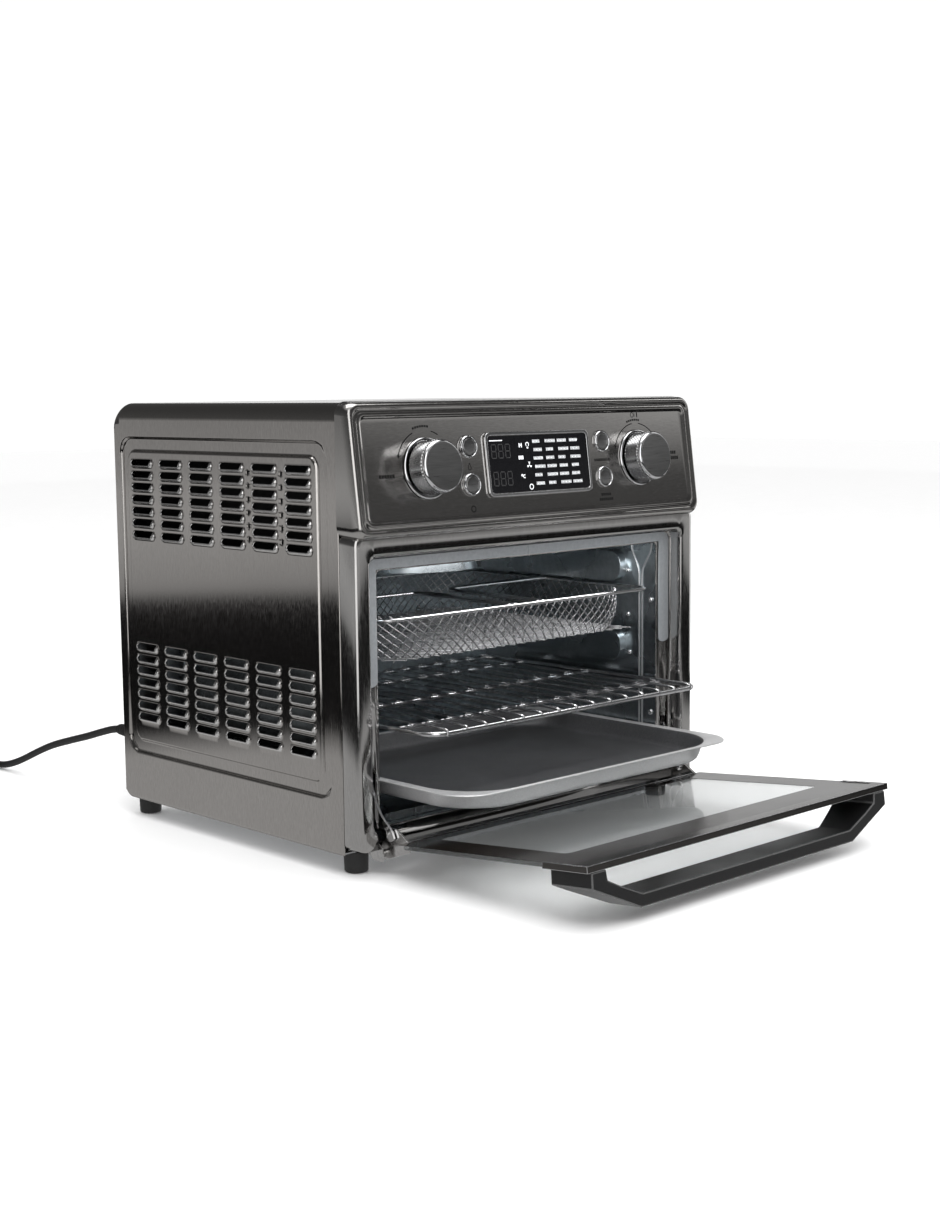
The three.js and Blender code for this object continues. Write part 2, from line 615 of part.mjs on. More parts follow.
// Channel round the free edge, with short returns down both sides.
function doorTopTrim() {
  const [half, end, thick] = [DOOR.halfWidth, DOOR.length, DOOR.thickness];
  const body = join(block(-half, half, end - 12, end, 0, thick),
    ...sides.map(([, s]) => block(s * (half - 3.5), s * half, end - 42, end - 11, 0, thick)));
  return cut(body, block(-half + GAP, half - GAP, 100, end - 0.9, 0.7, 4.3));
}

function doorBottomTrim() {
  const half = DOOR.notchHalfWidth;
  return cut(block(-half, half, 0.7, 11, 0, DOOR.thickness), block(-half - 1, half + 1, 1.5, 20, 0.7, 4.3));
}

// A faceted bow: the front view cut through by the plan view.
function handle() {
  const top = DOOR.thickness + GAP;
  const half = [[157, top], [156, 13], [144, 19], [122, 28.5]];
  const outer = [[124.5, 38], [171.8, 16.7], [171.3, top]];
  const mirrored = (points) => points.map(([x, w]) => [-x, w]).reverse();
  const frontView = alongY(polygon([...half, ...mirrored(half), ...mirrored(outer), ...outer]), 150, 201.6);
  const plan = polygon([
    [-180, 163], [-157, 163], [-124, 171], [124, 171],
    [157, 163], [180, 163], [180, 210], [-180, 210],
  ]);
  return frontView.intersect(alongZ(plan, 0, 60));
}

part('door_glass', doorGlass(), DOOR_GLASS(), door);
part('door_top_trim', doorTopTrim(), POLISHED(), door);
part('door_bottom_trim', doorBottomTrim(), POLISHED(), door);
part('handle', handle(), BLACK_PLASTIC(), door);

// ---------- accessories ----------

function bakingPan() {
  const [half, front, back] = [PAN.halfWidth, PAN.front, PAN.front + PAN.depth];
  const trough = (inset, z0, z1) => loft([
    {
      z: z0,
      points: outline(
        half - 13 - inset, front + PAN.lip + 6 + inset, back - PAN.lip - 6 - inset, PAN.troughCorner - 6),
    },
    {
      z: z1,
      points: outline(half - 8 - inset, front + PAN.lip + inset, back - PAN.lip - inset, PAN.troughCorner),
    },
  ]);
  const flange = alongZ(roundedRectangle(-half, half, front, back, 28), PAN.rim - 1.2, PAN.rim, 5);
  return cut(join(flange, trough(0, PAN.bottom, PAN.rim - 0.5)), trough(1, PAN.bottom + 1, PAN.rim + 1));
}

function wireRack() {
  const { halfWidth: half, front, wire, level } = RACK;
  const back = front + RACK.depth;
  const loop = cut(alongZ(roundedRectangle(-half, half, front, back, 20), level, level + wire, 3),
    alongZ(
      roundedRectangle(-half + wire, half - wire, front + wire, back - wire, 16), level - 5, level + 10, 3));
  const pieces = [loop];
  const pitch = (2 * half - 30) / (RACK.barCount - 1);
  for (let i = 0; i < RACK.barCount; i++) {
    const x = (i - (RACK.barCount - 1) / 2) * pitch;
    pieces.push(block(x - 1.2, x + 1.2, front + 1.5, back - 1.5, level + 2.6, level + 5));
  }
  for (const y of [front + 46, back - 46]) {
    pieces.push(block(-half + 1, half - 1, y - 1.5, y + 1.5, level + 0.4, level + 3.4));
  }
  return join(...pieces);
}

function fryBasket() {
  const { halfWidth: half, front, rim, bottom, wall } = BASKET;
  const back = front + BASKET.depth;
  const tub = (inset, z0, z1) => loft([
    { z: z0, points: outline(half - 17 - inset, front + 12 + inset, back - 12 - inset, 48) },
    { z: z0 + 8, points: outline(half - 11 - inset, front + 6 + inset, back - 6 - inset, 56) },
    { z: z1, points: outline(half - 9 - inset, front + 4 + inset, back - 4 - inset, 60) },
  ]);
  const flange = alongZ(roundedRectangle(-half, half, front, back, 16), rim - 1.6, rim, 4);
  return cut(join(flange, tub(0, bottom, rim - 0.5)), tub(wall, bottom + wall, rim + 1));
}

part('baking_pan', bakingPan(), NON_STICK());
part('wire_rack', wireRack(), POLISHED());
part('fry_basket', fryBasket(), POLISHED());

// ---------- power cord ----------

function cordGland() {
  const outside = CABINET.depth - SHEET - GAP;
  const flange = backRod(8.5, outside + GAP, outside + 3.5, CORD.x, CORD.z);
  const neck = backRod(5, outside - 6, outside + 1, CORD.x, CORD.z);
  const sleeve = backRod(6.6, outside + 3, GLAND_END, CORD.x, CORD.z, 4.4);
  const bore = backRod(CORD.radius + 0.3, outside - 10, GLAND_END + 10, CORD.x, CORD.z);
  return cut(join(flange, neck, sleeve), bore);
}

function roundTube(points, steps, sides) {
  const section = new THREE.Shape().absarc(0, 0, CORD.radius, 0, 2 * Math.PI);
  const path = new THREE.CatmullRomCurve3(points.map((p) => new THREE.Vector3(...p)), false, 'centripetal');
  const circle = new THREE.Shape(section.getSpacedPoints(sides).slice(0, -1));
  return solid(new THREE.ExtrudeGeometry(circle, { steps, extrudePath: path, bevelEnabled: false }));
}

function cordCoil() {
  return moved(ring(COIL.inner, COIL.outer, GAP, COIL.height, 28), COIL.x, COIL.y, 0);
}

// A two-pin plug lying beside the coil, with the short tail that joins it to the coil.
function powerPlug() {
  const { x, y, length, halfWidth, height, pinLength } = PLUG;
  const body = block(x - length, x, y - halfWidth, y + halfWidth, 0.3, height);
  const pins = [-6.35, 6.35].map((offset) =>
    block(
      x - length - pinLength, x - length + 1, y + offset - 0.8, y + offset + 0.8,
      height / 2 - 3.2, height / 2 + 3.2));
  const tailRoute = [[x - 3, y, 8], [x + 6, y, 8.6], [x + 14, y + 0.3, 9.2], [x + 20.5, y + 0.6, 9.6]];
  const tail = roundTube(tailRoute, 6, 8);
  return join(body, tail, ...pins);
}

part('cord_gland', cordGland(), RUBBER());
part('power_cord', roundTube(CORD_ROUTE, 26, 10), RUBBER());
part('cord_coil', cordCoil(), RUBBER());
part('power_plug', powerPlug(), RUBBER());

// ---------- origin at the centre of the footprint, cord left out ----------

const footprint = new THREE.Box3();
const cordNames = ['cord_gland', 'power_cord', 'cord_coil', 'power_plug'];
oven.updateMatrixWorld(true);
oven.traverse((node) => {
  if (node.isMesh && !cordNames.includes(node.name)) footprint.expandByObject(node, true);
});
oven.position.y = -(footprint.min.y + footprint.max.y) / 2;

export default oven;
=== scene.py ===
# Looks for the toaster oven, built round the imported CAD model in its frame, in metres.
# The oven's own places are written in millimetres from the cabinet's middle (x), its front edge (y)
# and the worktop (z), and at() turns them into metres.
import json
from math import cos, pi, radians, sin

import bmesh
import bpy
import numpy as np
from mathutils import Matrix, Vector

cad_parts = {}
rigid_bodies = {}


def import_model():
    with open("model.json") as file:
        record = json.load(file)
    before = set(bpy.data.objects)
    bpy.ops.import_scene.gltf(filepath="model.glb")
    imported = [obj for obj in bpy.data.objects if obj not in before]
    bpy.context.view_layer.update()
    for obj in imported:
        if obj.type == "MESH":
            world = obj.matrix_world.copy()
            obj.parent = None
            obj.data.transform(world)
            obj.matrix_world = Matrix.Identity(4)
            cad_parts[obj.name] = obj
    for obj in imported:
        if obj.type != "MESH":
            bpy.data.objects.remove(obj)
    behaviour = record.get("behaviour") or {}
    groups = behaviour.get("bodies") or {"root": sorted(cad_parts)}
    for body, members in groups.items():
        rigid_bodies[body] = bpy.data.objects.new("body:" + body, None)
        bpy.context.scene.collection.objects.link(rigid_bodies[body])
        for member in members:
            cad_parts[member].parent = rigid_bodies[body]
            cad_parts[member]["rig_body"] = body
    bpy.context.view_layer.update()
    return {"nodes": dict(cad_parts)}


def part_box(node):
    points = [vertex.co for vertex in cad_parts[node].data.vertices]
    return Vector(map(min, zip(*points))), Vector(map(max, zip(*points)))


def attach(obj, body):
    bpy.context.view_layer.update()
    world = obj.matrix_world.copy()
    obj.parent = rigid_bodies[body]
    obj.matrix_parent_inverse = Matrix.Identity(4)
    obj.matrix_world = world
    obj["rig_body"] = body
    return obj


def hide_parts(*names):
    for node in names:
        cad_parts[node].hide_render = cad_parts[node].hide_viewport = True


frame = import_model()
nodes = frame["nodes"]
FRONT_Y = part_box("outer_shell")[0].y
SIDES = (("left", -1), ("right", 1))

# Cabinet
HALF_WIDTH = 192.5
CABINET_LOW, CABINET_TOP = 16.4, 354.7
CABINET_BACK = 297.5
ROLL = 2
ROLL_START = CABINET_BACK - ROLL
ROOF_BEND = 14
SIDE_TOP = CABINET_TOP - ROOF_BEND
SHEET = 0.9
# Front, rear, low and high edges
GROOVE_OUTSIDE = (12.3, 288.3, 56.8, 326.8)
GROOVE_INSIDE = (24.8, 277.3, 68.7, 314.9)
LOUVRE_PITCH = 41.9
LOUVRE_Y = [45.8 + LOUVRE_PITCH * i for i in range(6)]
LOUVRE_Z = [top - 10.02 * j for top in (304.8, 149.5) for j in range(7)]
VENT_HOLES = [(66.7 + LOUVRE_PITCH * i, 301 - 10.4 * j) for i in (0, 1) for j in range(6)]
ARM_SLOT_INSIDE, ARM_SLOT_OUTSIDE, ARM_SLOT_TOP = 164.4, 174.6, 76
SCREW_HEAD_Y = 296.3
# Radius and height, in screw radii
SCREW_PROFILE = ((1, 0), (1, 0.25), (0.86, 0.5), (0.6, 0.62), (0.36, 0.64), (0.24, 0.4))
REAR_SCREWS = ((-178, 30), (178, 30), (-178, 338), (178, 338), (-60, 338), (60, 338), (60, 26), (-60, 26))

# Cavity
WALL_X = 160

# Control fascia, where v is the height up its slope
FASCIA_HALF = 194
SLOPE = radians(7.4)
FACE_FOOT_Y, FACE_FOOT_Z = -24.5, 258
CONTROL = 47  # middle of the dials and the display
KNOB_X = 120.3
BUTTON_X = 75.7
BUTTON_V = (("upper", 61.9), ("lower", 32.8))

# Door, open
TILT = radians(5.7)
DOOR_Y, DOOR_Z = -31.5, 29
ARM_FACE = 165.4

# Mains lead
CORD_D = 6.5
GLAND_X, GLAND_Z = -175, 67.5
ROUTE = [
    (-175, 331.3, 67.5), (-175, 345, 65), (-175, 362, 60.4), (-175, 387, 53.2), (-175, 415, 45.8),
    (-175, 445, 37.4), (-175, 470, 28.6), (-175, 492, 19.8), (-175, 512, 12.2), (-175, 530, 6.8),
    (-175, 542, 4.4), (-175, 550, 3.7), (-175, 562, 3.6), (-175, 575, 3.6),
]
TAIL = [(-224, 614.3, 10.1), (-234, 613.9, 9.8), (-244, 613.4, 9.4), (-254, 613.1, 8.7), (-262, 613, 8.2)]
COIL_X, COIL_Y = -214.4, 575
OUTER_TURN, INNER_TURN = 39.4, 32.7
LOW_TURN, HIGH_TURN = 3.6, 10.2
PLUG_X, PLUG_Y = -262, 613
PIN_SPACING, PIN_HEIGHT = 12.7, 8


def at(x, y, z):
    return Vector((x / 1000, y / 1000 + FRONT_Y, z / 1000))


def smooth(t):
    """An even start and stop between 0 and 1."""
    t = np.clip(t, 0, 1)
    return t * t * (3 - 2 * t)


def new_object(name, data):
    obj = bpy.data.objects.new(name, data)
    bpy.context.scene.collection.objects.link(obj)
    return obj


def node_material(name):
    mat = bpy.data.materials.new(name)
    mat.use_nodes = True
    return mat


# ---- camera ----

def make_camera():
    """A camera to the front left, looking slightly down."""
    pan, pitch, roll = (radians(a) for a in (43.511, 6.983, -0.609))
    forward = Vector((sin(pan) * cos(pitch), cos(pan) * cos(pitch), -sin(pitch)))
    right = forward.cross(Vector((0, 0, 1))).normalized()
    up = right.cross(forward)
    tilted = (cos(roll) * right + sin(roll) * up, cos(roll) * up - sin(roll) * right)
    data = bpy.data.cameras.new("camera")
    data.sensor_width = 36
    data.lens = 53.09
    camera = new_object("camera", data)
    turn = Matrix((tilted[0], tilted[1], -forward)).transposed().to_4x4()
    camera.matrix_world = Matrix.Translation(at(-1026.0, -1018.2, 364.2)) @ turn
    bpy.context.scene.camera = camera


make_camera()


# ---- materials ----

def fill(node, **values):
    """Sets input sockets, named with _ for a space."""
    for key, value in values.items():
        node.inputs[key.replace("_", " ")].default_value = value
    return node


def add(mat, kind, **values):
    return fill(mat.node_tree.nodes.new("ShaderNode" + kind), **values)


def join(mat, socket, into):
    mat.node_tree.links.new(socket, into)


def drive(mat, name, socket):
    join(mat, socket, mat.node_tree.nodes["Principled BSDF"].inputs[name])


def material(name, color, rough, metal=0.0, **inputs):
    """A plain principled material."""
    mat = node_material(name)
    shader = mat.node_tree.nodes["Principled BSDF"]
    fill(shader, Base_Color=(*color, 1), Roughness=rough, Metallic=metal, **inputs)
    return mat


def noise(mat, scale, stretch=(1, 1, 1), detail=3.0):
    """A noise texture in object space, stretched along the axes; returns its value socket."""
    coords = add(mat, "TexCoord")
    mapping = add(mat, "Mapping", Scale=stretch)
    texture = add(mat, "TexNoise", Scale=scale, Detail=detail)
    join(mat, coords.outputs["Object"], mapping.inputs["Vector"])
    join(mat, mapping.outputs["Vector"], texture.inputs["Vector"])
    return texture.outputs["Fac"]


def ranged(mat, socket, low, high):
    """Stretches the middle of a noise's values to run from low to high."""
    node = add(mat, "MapRange", From_Min=0.3, From_Max=0.7, To_Min=low, To_Max=high)
    join(mat, socket, node.inputs["Value"])
    return node.outputs["Result"]


def product(mat, a, b):
    node = add(mat, "Math")
    node.operation = "MULTIPLY"
    join(mat, a, node.inputs[0])
    join(mat, b, node.inputs[1])
    return node.outputs[0]


def shade(mat, socket, dark, light):
    """Mixes the base colour between two colours by a value socket."""
    node = add(mat, "Mix")
    node.data_type = "RGBA"
    fill(node, A=(*dark, 1), B=(*light, 1))
    join(mat, socket, node.inputs["Factor"])
    drive(mat, "Base Color", node.outputs["Result"])


def bumps(mat, socket, strength, distance):
    node = add(mat, "Bump", Strength=strength, Distance=distance)
    join(mat, socket, node.inputs["Height"])
    drive(mat, "Normal", node.outputs["Normal"])


def brushed(name, dark, light, rough, stretch, grain=0.12, scale=60):
    """Brushed metal: fine streaks along one axis, with slow patches of lighter and darker tone."""
    mat = material(name, light, rough, 1.0)
    streaks = noise(mat, scale, stretch, 4)
    patches = noise(mat, 7, (1, 1, 1), 2)
    mixed = product(mat, ranged(mat, streaks, 0.45, 1.0), ranged(mat, patches, 0.8, 1.0))
    shade(mat, mixed, dark, light)
    drive(mat, "Roughness", ranged(mat, streaks, rough - 0.03, rough + 0.05))
    bumps(mat, streaks, grain, 0.00005)
    return mat


def speckled(name, dark, light, rough, metal=0.0, scale=900, grain=0.25, depth=0.0002, **inputs):
    """Moulded, coated or plated surface: a fine speckle over slow variation."""
    mat = material(name, light, rough, metal, **inputs)
    fine = noise(mat, scale, (1, 1, 1), 2)
    slow = noise(mat, 14, (1, 1, 1), 3)
    shade(mat, product(mat, ranged(mat, fine, 0.5, 1.0), ranged(mat, slow, 0.6, 1.0)), dark, light)
    drive(mat, "Roughness", ranged(mat, slow, max(rough - 0.05, 0.02), rough + 0.07))
    bumps(mat, fine, grain, depth)
    return mat


SIDE_STEEL = brushed("side_steel", (0.37, 0.352, 0.338), (0.55, 0.528, 0.508), 0.08, (6, 6, 0.8), 0.035, 300)
FACE_STEEL = brushed("face_steel", (0.40, 0.39, 0.375), (0.56, 0.545, 0.53), 0.15, (0.6, 6, 6), 0.05, 300)
BRIGHT_STEEL = brushed("bright_steel", (0.40, 0.39, 0.38), (0.56, 0.55, 0.54), 0.10, (6, 6, 0.7), 0.03, 260)
# Painted shade: a darker copy of the front steel, for the sill below the mouth.
SILL_SHADE_STEEL = brushed("sill_painted_shade_steel", (0.17, 0.165, 0.16), (0.27, 0.265, 0.26), 0.07, (0.7, 6, 6), 0.02, 260)
# Painted highlight: a lighter copy of the side steel, for the raised louvre hoods.
LIP_HIGHLIGHT_STEEL = brushed("louvre_lip_painted_highlight", (0.72, 0.71, 0.70), (0.90, 0.89, 0.88), 0.22, (6, 6, 0.7), 0.03, 260)
KNURL = speckled("knurled_barrel", (0.34, 0.34, 0.345), (0.60, 0.60, 0.605), 0.20, 1.0, 300, 0.05, 0.0001)
# Painted shade: the door trims' steel coloured near black.
DOOR_TRIM_SHADE = brushed("door_trim_painted_shade", (0.055, 0.05, 0.047), (0.11, 0.105, 0.10), 0.2, (0.7, 6, 6), 0.02, 260)
CHROME = speckled("chrome", (0.70, 0.70, 0.71), (0.86, 0.86, 0.87), 0.08, 1.0, 260, 0.05, 0.0001)
WIRE = speckled("plated_wire", (0.50, 0.50, 0.51), (0.74, 0.74, 0.75), 0.18, 1.0, 420, 0.15, 0.0002)
MESH_WIRE = speckled("mesh_wire", (0.20, 0.20, 0.205), (0.42, 0.42, 0.43), 0.26, 1.0, 420, 0.1, 0.0002)
HINGE_STEEL = speckled("plated_hinge", (0.40, 0.395, 0.39), (0.62, 0.61, 0.60), 0.14, 1.0, 300, 0.06, 0.0001)
ZINC = speckled("zinc_sheet", (0.42, 0.43, 0.44), (0.62, 0.63, 0.64), 0.38, 1.0, 130, 0.15)
CAVITY_STEEL = speckled("cavity_steel", (0.30, 0.33, 0.35), (0.48, 0.52, 0.54), 0.26, 1.0, 210, 0.08)
SATIN_GREY = speckled("satin_grey", (0.30, 0.32, 0.34), (0.44, 0.46, 0.48), 0.42, 0.6, 500, 0.12)
NON_STICK = speckled("non_stick", (0.035, 0.036, 0.038), (0.085, 0.086, 0.09), 0.40, 0.25, 700, 0.3, 0.0002)
PAN_OUTSIDE = speckled("pan_outside", (0.46, 0.46, 0.465), (0.60, 0.60, 0.605), 0.36, 0.5, 700, 0.3)
BLACK = speckled("black_plastic", (0.005, 0.005, 0.005), (0.012, 0.012, 0.0125), 0.34, 0, 1100, 0.2, 0.00015,
                 Specular_IOR_Level=0.3)
# Painted highlight: a lighter black for the handle's rounded edges.
HANDLE_EDGE_HIGHLIGHT = speckled("handle_painted_edge_highlight", (0.05, 0.05, 0.05), (0.09, 0.09, 0.09), 0.22, 0, 500, 0.04, 0.0001)
RUBBER = speckled("rubber", (0.006, 0.006, 0.006), (0.02, 0.02, 0.02), 0.62, 0, 1500, 0.3, 0.0002)
DISPLAY = speckled("display_glass", (0.002, 0.002, 0.003), (0.006, 0.006, 0.007), 0.07, 0, 200, 0.01, 0.0001)
FRIT = speckled("glass_border", (0.006, 0.005, 0.005), (0.016, 0.013, 0.011), 0.10, 0, 800, 0.02, 0.0001,
                Specular_IOR_Level=0.25)
HEATER = speckled("heater_sheath", (0.03, 0.03, 0.03), (0.10, 0.095, 0.09), 0.45, 0.8, 600, 0.3)
CIRCUIT = speckled("circuit_board", (0.005, 0.05, 0.02), (0.02, 0.13, 0.05), 0.45, 0, 300, 0.4)
BUTTON_GREY = brushed("button_face", (0.26, 0.26, 0.26), (0.46, 0.46, 0.46), 0.30, (1, 14, 14), 0.05)
# Black print, also used for the painted shade sheets inside the sides.
INK_AND_SHADE = speckled("black_print_and_painted_shade", (0.003, 0.003, 0.003), (0.008, 0.008, 0.008), 0.6, Specular_IOR_Level=0.15)
LIT = speckled("white_print", (0.72, 0.73, 0.75), (0.9, 0.91, 0.93), 0.5,
               Emission_Color=(0.9, 0.92, 0.95, 1), Emission_Strength=0.5)
DIM = speckled("unlit_segments", (0.018, 0.018, 0.019), (0.035, 0.035, 0.036), 0.4)
GLASS = material("door_pane", (0.66, 0.675, 0.675), 0.03, 0, IOR=1.2, Transmission_Weight=0.94)
drive(GLASS, "Roughness", ranged(GLASS, noise(GLASS, 25), 0.02, 0.05))


# ---- building helpers ----

def keep(obj, body, mats, replaces=(), smooth=True):
    """Gives an object its materials and body, and hides the CAD nodes that it stands for."""
    for mat in mats if isinstance(mats, (list, tuple)) else [mats]:
        obj.data.materials.append(mat)
    if smooth and obj.type == "MESH":
        obj.data.shade_smooth()
    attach(obj, body)
    if replaces:
        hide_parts(*replaces)
    return obj


def piece(name, verts, faces, body, slot, mats, replaces=(), smooth=True):
    mesh = bpy.data.meshes.new(name)
    mesh.from_pydata([tuple(v) for v in verts], [], faces)
    bm = bmesh.new()
    bm.from_mesh(mesh)
    bmesh.ops.recalc_face_normals(bm, faces=bm.faces)
    bm.to_mesh(mesh)
    bm.free()
    obj = new_object(name, mesh)
    return keep(obj, body, mats, replaces, smooth)


def thicken(obj, thickness):
    """Gives a sheet its thickness, inwards."""
    mod = obj.modifiers.new("sheet", "SOLIDIFY")
    mod.thickness = thickness / 1000
    mod.offset = -1


def round_edges(obj, width, segments=2, rim=-1):
    """Rounds the sharp edges; rim is the material index of the rounding, or -1 for its neighbours' own."""
    mod = obj.modifiers.new("edges", "BEVEL")
    mod.material = rim
    mod.width = width / 1000
    mod.segments = segments
    mod.limit_method = "ANGLE"
    mod.angle_limit = radians(35)
    mod.harden_normals = True


def softened(node, width, mats, segments=2):
    """The CAD node's own form, facets merged and edges rounded. A second material goes on the rounding."""
    mesh = nodes[node].data.copy()
    mesh.materials.clear()
    bm = bmesh.new()
    bm.from_mesh(mesh)
    bmesh.ops.remove_doubles(bm, verts=bm.verts, dist=2e-6)
    bmesh.ops.dissolve_limit(bm, angle_limit=radians(0.6), verts=bm.verts, edges=bm.edges)
    bm.to_mesh(mesh)
    bm.free()
    obj = new_object(node + "_form", mesh)
    keep(obj, nodes[node]["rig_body"], mats, (node,))
    mesh.set_sharp_from_angle(angle=radians(35))
    round_edges(obj, width, segments, rim=1 if isinstance(mats, list) else -1)


def outline(x0, x1, y0, y1, radius, steps=8):
    """A rectangle with rounded corners as a list of points, always of the same count."""
    points = []
    corners = (
        (x1 - radius, y1 - radius, 0), (x0 + radius, y1 - radius, 90),
        (x0 + radius, y0 + radius, 180), (x1 - radius, y0 + radius, 270),
    )
    for cx, cy, start in corners:
        for i in range(steps + 1):
            a = radians(start + 90 * i / steps)
            points.append((cx + radius * cos(a), cy + radius * sin(a)))
    return points


def skin(loops, cap_first=False, cap_last=False, join_ends=False):
    """Faces between loops of equal point counts, with the ends open, capped or joined to each other."""
    count = len(loops[0])
    verts = [p for loop in loops for p in loop]
    faces = []
    for k in range(len(loops) - 1):
        for i in range(count):
            a, b = k * count + i, k * count + (i + 1) % count
            faces.append((a, b, b + count, a + count))
    if cap_first:
        faces.append(tuple(range(count))[::-1])
    if cap_last:
        faces.append(tuple(range((len(loops) - 1) * count, len(loops) * count)))
    if join_ends:
        last = (len(loops) - 1) * count
        faces += [(last + i, last + (i + 1) % count, (i + 1) % count, i) for i in range(count)]
    return verts, faces


def turned(name, profile, place, body, slot, mats, replaces=(), segments=64, ripple=None):
    """A turned form. place(a, b, h) puts a point; ripple(angle, k) gives a radius change for ring k."""
    loops = []
    for k, (r, h) in enumerate(profile):
        ring = []
        for i in range(segments):
            a = 2 * pi * i / segments
            reach = r + (ripple(a, k) if ripple else 0)
            ring.append(place(reach * cos(a), reach * sin(a), h))
        loops.append(ring)
    verts, faces = skin(loops, True, True)
    obj = piece(name, verts, faces, body, slot, mats, replaces)
    obj.data.set_sharp_from_angle(angle=radians(40))
    return obj


def wires(name, runs, radius, body, mat, replaces=(), sides=3):
    """Round wires along runs of points; a run is (points, closed). More sides make a rounder wire."""
    data = bpy.data.curves.new(name, "CURVE")
    data.dimensions = "3D"
    data.bevel_depth = radius / 1000
    data.bevel_resolution = sides
    data.use_fill_caps = True
    for points, closed in runs:
        spline = data.splines.new("POLY")
        spline.points.add(len(points) - 1)
        for target, p in zip(spline.points, points):
            target.co = (*p, 1)
        spline.use_cyclic_u = closed
        spline.use_smooth = True
    obj = new_object(name, data)
    return keep(obj, body, mat, replaces)


def rounded_run(points, radius, steps=5):
    """Points joined by straight lines, with each inner corner turned into an arc."""
    out = [points[0]]
    for before, corner, after in zip(points, points[1:], points[2:]):
        r = min(radius / 1000, (before - corner).length * 0.49, (after - corner).length * 0.49)
        a = corner + (before - corner).normalized() * r
        b = corner + (after - corner).normalized() * r
        out += [a.lerp(corner, t).lerp(corner.lerp(b, t), t) for t in (i / steps for i in range(steps + 1))]
    return out + [points[-1]]


# ---- power cord ----

def coil_points():
    """Turns on the worktop and then on top of them, leaving towards the plug."""
    points = []
    go_in, climb, go_out, end = 290, 590, 890, 1170  # degrees
    for deg in range(10, end + 1, 10):
        inward = smooth((deg - go_in) / 80) - smooth((deg - go_out) / 80)
        radius = OUTER_TURN + (INNER_TURN - OUTER_TURN) * inward
        height = LOW_TURN + (HIGH_TURN - LOW_TURN) * smooth((deg - climb) / 70)
        a = radians(deg)
        points.append((COIL_X + radius * cos(a), COIL_Y + radius * sin(a), height))
    return points


def spline_points(points, step=4.0):
    """A smooth line through the points, at nearly even steps."""
    p = [Vector(q) for q in points]
    p = [2 * p[0] - p[1]] + p + [2 * p[-1] - p[-2]]
    out = []
    for a, b, c, d in zip(p, p[1:], p[2:], p[3:]):
        count = max(1, round((c - b).length / step))
        for i in range(count):
            t = i / count
            square = (2 * a - 5 * b + 4 * c - d) * t ** 2
            cube = (3 * b - a - 3 * c + d) * t ** 3
            out.append(0.5 * ((2 * b) + (c - a) * t + square + cube))
    return out + [p[-2]]


def make_cord():
    """The lead from the gland down to the worktop, round its coil and on to the plug."""
    route = spline_points(ROUTE) + [Vector(p) for p in coil_points()]
    route += spline_points(TAIL)
    points = [at(*p) for p in route]
    solids = ("power_cord", "cord_coil")
    cord = wires("cord_flex", [(points, False)], CORD_D / 2, "oven", RUBBER, solids, sides=4)
    plug = make_plug()
    gland = make_gland()
    tie = make_tie()


def make_tie():
    """A thin strap that holds the coil's turns together."""
    inside, outside, low, high = 28.9, 43.1, 0.3, 13.8  # just clear of the turns
    half_width, thickness = 3.5, 0.25
    rings = []
    for across, grow in ((-1, 0), (1, 0), (1, thickness), (-1, thickness)):
        section = outline(inside - grow, outside + grow, low - grow, high + grow, 3, 4)
        rings.append([at(COIL_X + across * half_width, COIL_Y - r, z) for r, z in section])
    return piece("coil_tie", *skin(rings, join_ends=True), "oven", "rubber_black", RUBBER)


def make_plug():
    """A moulded two-pin plug lying flat, its sleeve towards the coil."""
    rows = [  # along, half width, low, high, corner radius
        (4, 3.6, 4.3, 11.7, 3.4), (1, 4.6, 3.6, 12.6, 4), (-4, 7, 2.4, 14, 5.4), (-9, 11, 0.8, 15.6, 6.6),
        (-16, 12.4, 0.4, 15.9, 6), (-26, 12.5, 0.4, 15.9, 5), (-32, 12.2, 0.6, 15.7, 4.4),
        (-34, 11, 1.6, 14.7, 3.6),
    ]
    loops = []
    for x, half, low, high, r in rows:
        loops.append([at(PLUG_X + x, PLUG_Y + a, b) for a, b in outline(-half, half, low, high, r, 5)])
    plug = piece("plug_body", *skin(loops, True, True), "oven", "rubber_black", RUBBER, ("power_plug",))
    half_blade = 0.8
    for k, offset in enumerate((-PIN_SPACING / 2, PIN_SPACING / 2)):
        ends = []
        for x, h in ((-33, 3.2), (-48, 3.2), (-50, 2.2)):
            section = outline(-half_blade, half_blade, -h, h, 0.5, 2)
            ends.append([at(PLUG_X + x, PLUG_Y + offset + a, PIN_HEIGHT + b) for a, b in section])
        pin = piece(f"plug_pin_{k}", *skin(ends, True, True), "oven", "chrome_wire", CHROME)
        round_edges(pin, 0.2)
    return plug


def make_gland():
    """The ribbed strain relief: collar, neck and a sleeve that narrows towards the cord."""
    profile = [(3.6, 292), (5, 292), (5, 296.6), (8.5, 296.8), (8.5, 299.2), (7.4, 300.2)]
    for i in range(7):
        y = 301.5 + i * 4.1
        r = 6.8 - i * 0.32
        profile += [(r, y), (r, y + 2.4), (r - 1.2, y + 2.9), (r - 1.2, y + 3.7)]
    profile += [(4.5, 330.2), (4.0, 331), (3.3, 331)]
    place = lambda a, b, h: at(GLAND_X + a, h, GLAND_Z + b)
    return turned("strain_relief", profile, place, "oven", "rubber_black", RUBBER, ("cord_gland",), 32)


make_cord()


# ---- cabinet ----

def rounded_distance(a, b, a0, a1, b0, b1, radius):
    """Signed distance to a rounded rectangle, negative inside."""
    qa = np.abs(a - (a0 + a1) / 2) - (a1 - a0) / 2 + radius
    qb = np.abs(b - (b0 + b1) / 2) - (b1 - b0) / 2 + radius
    return np.hypot(np.maximum(qa, 0), np.maximum(qb, 0)) + np.minimum(np.maximum(qa, qb), 0) - radius


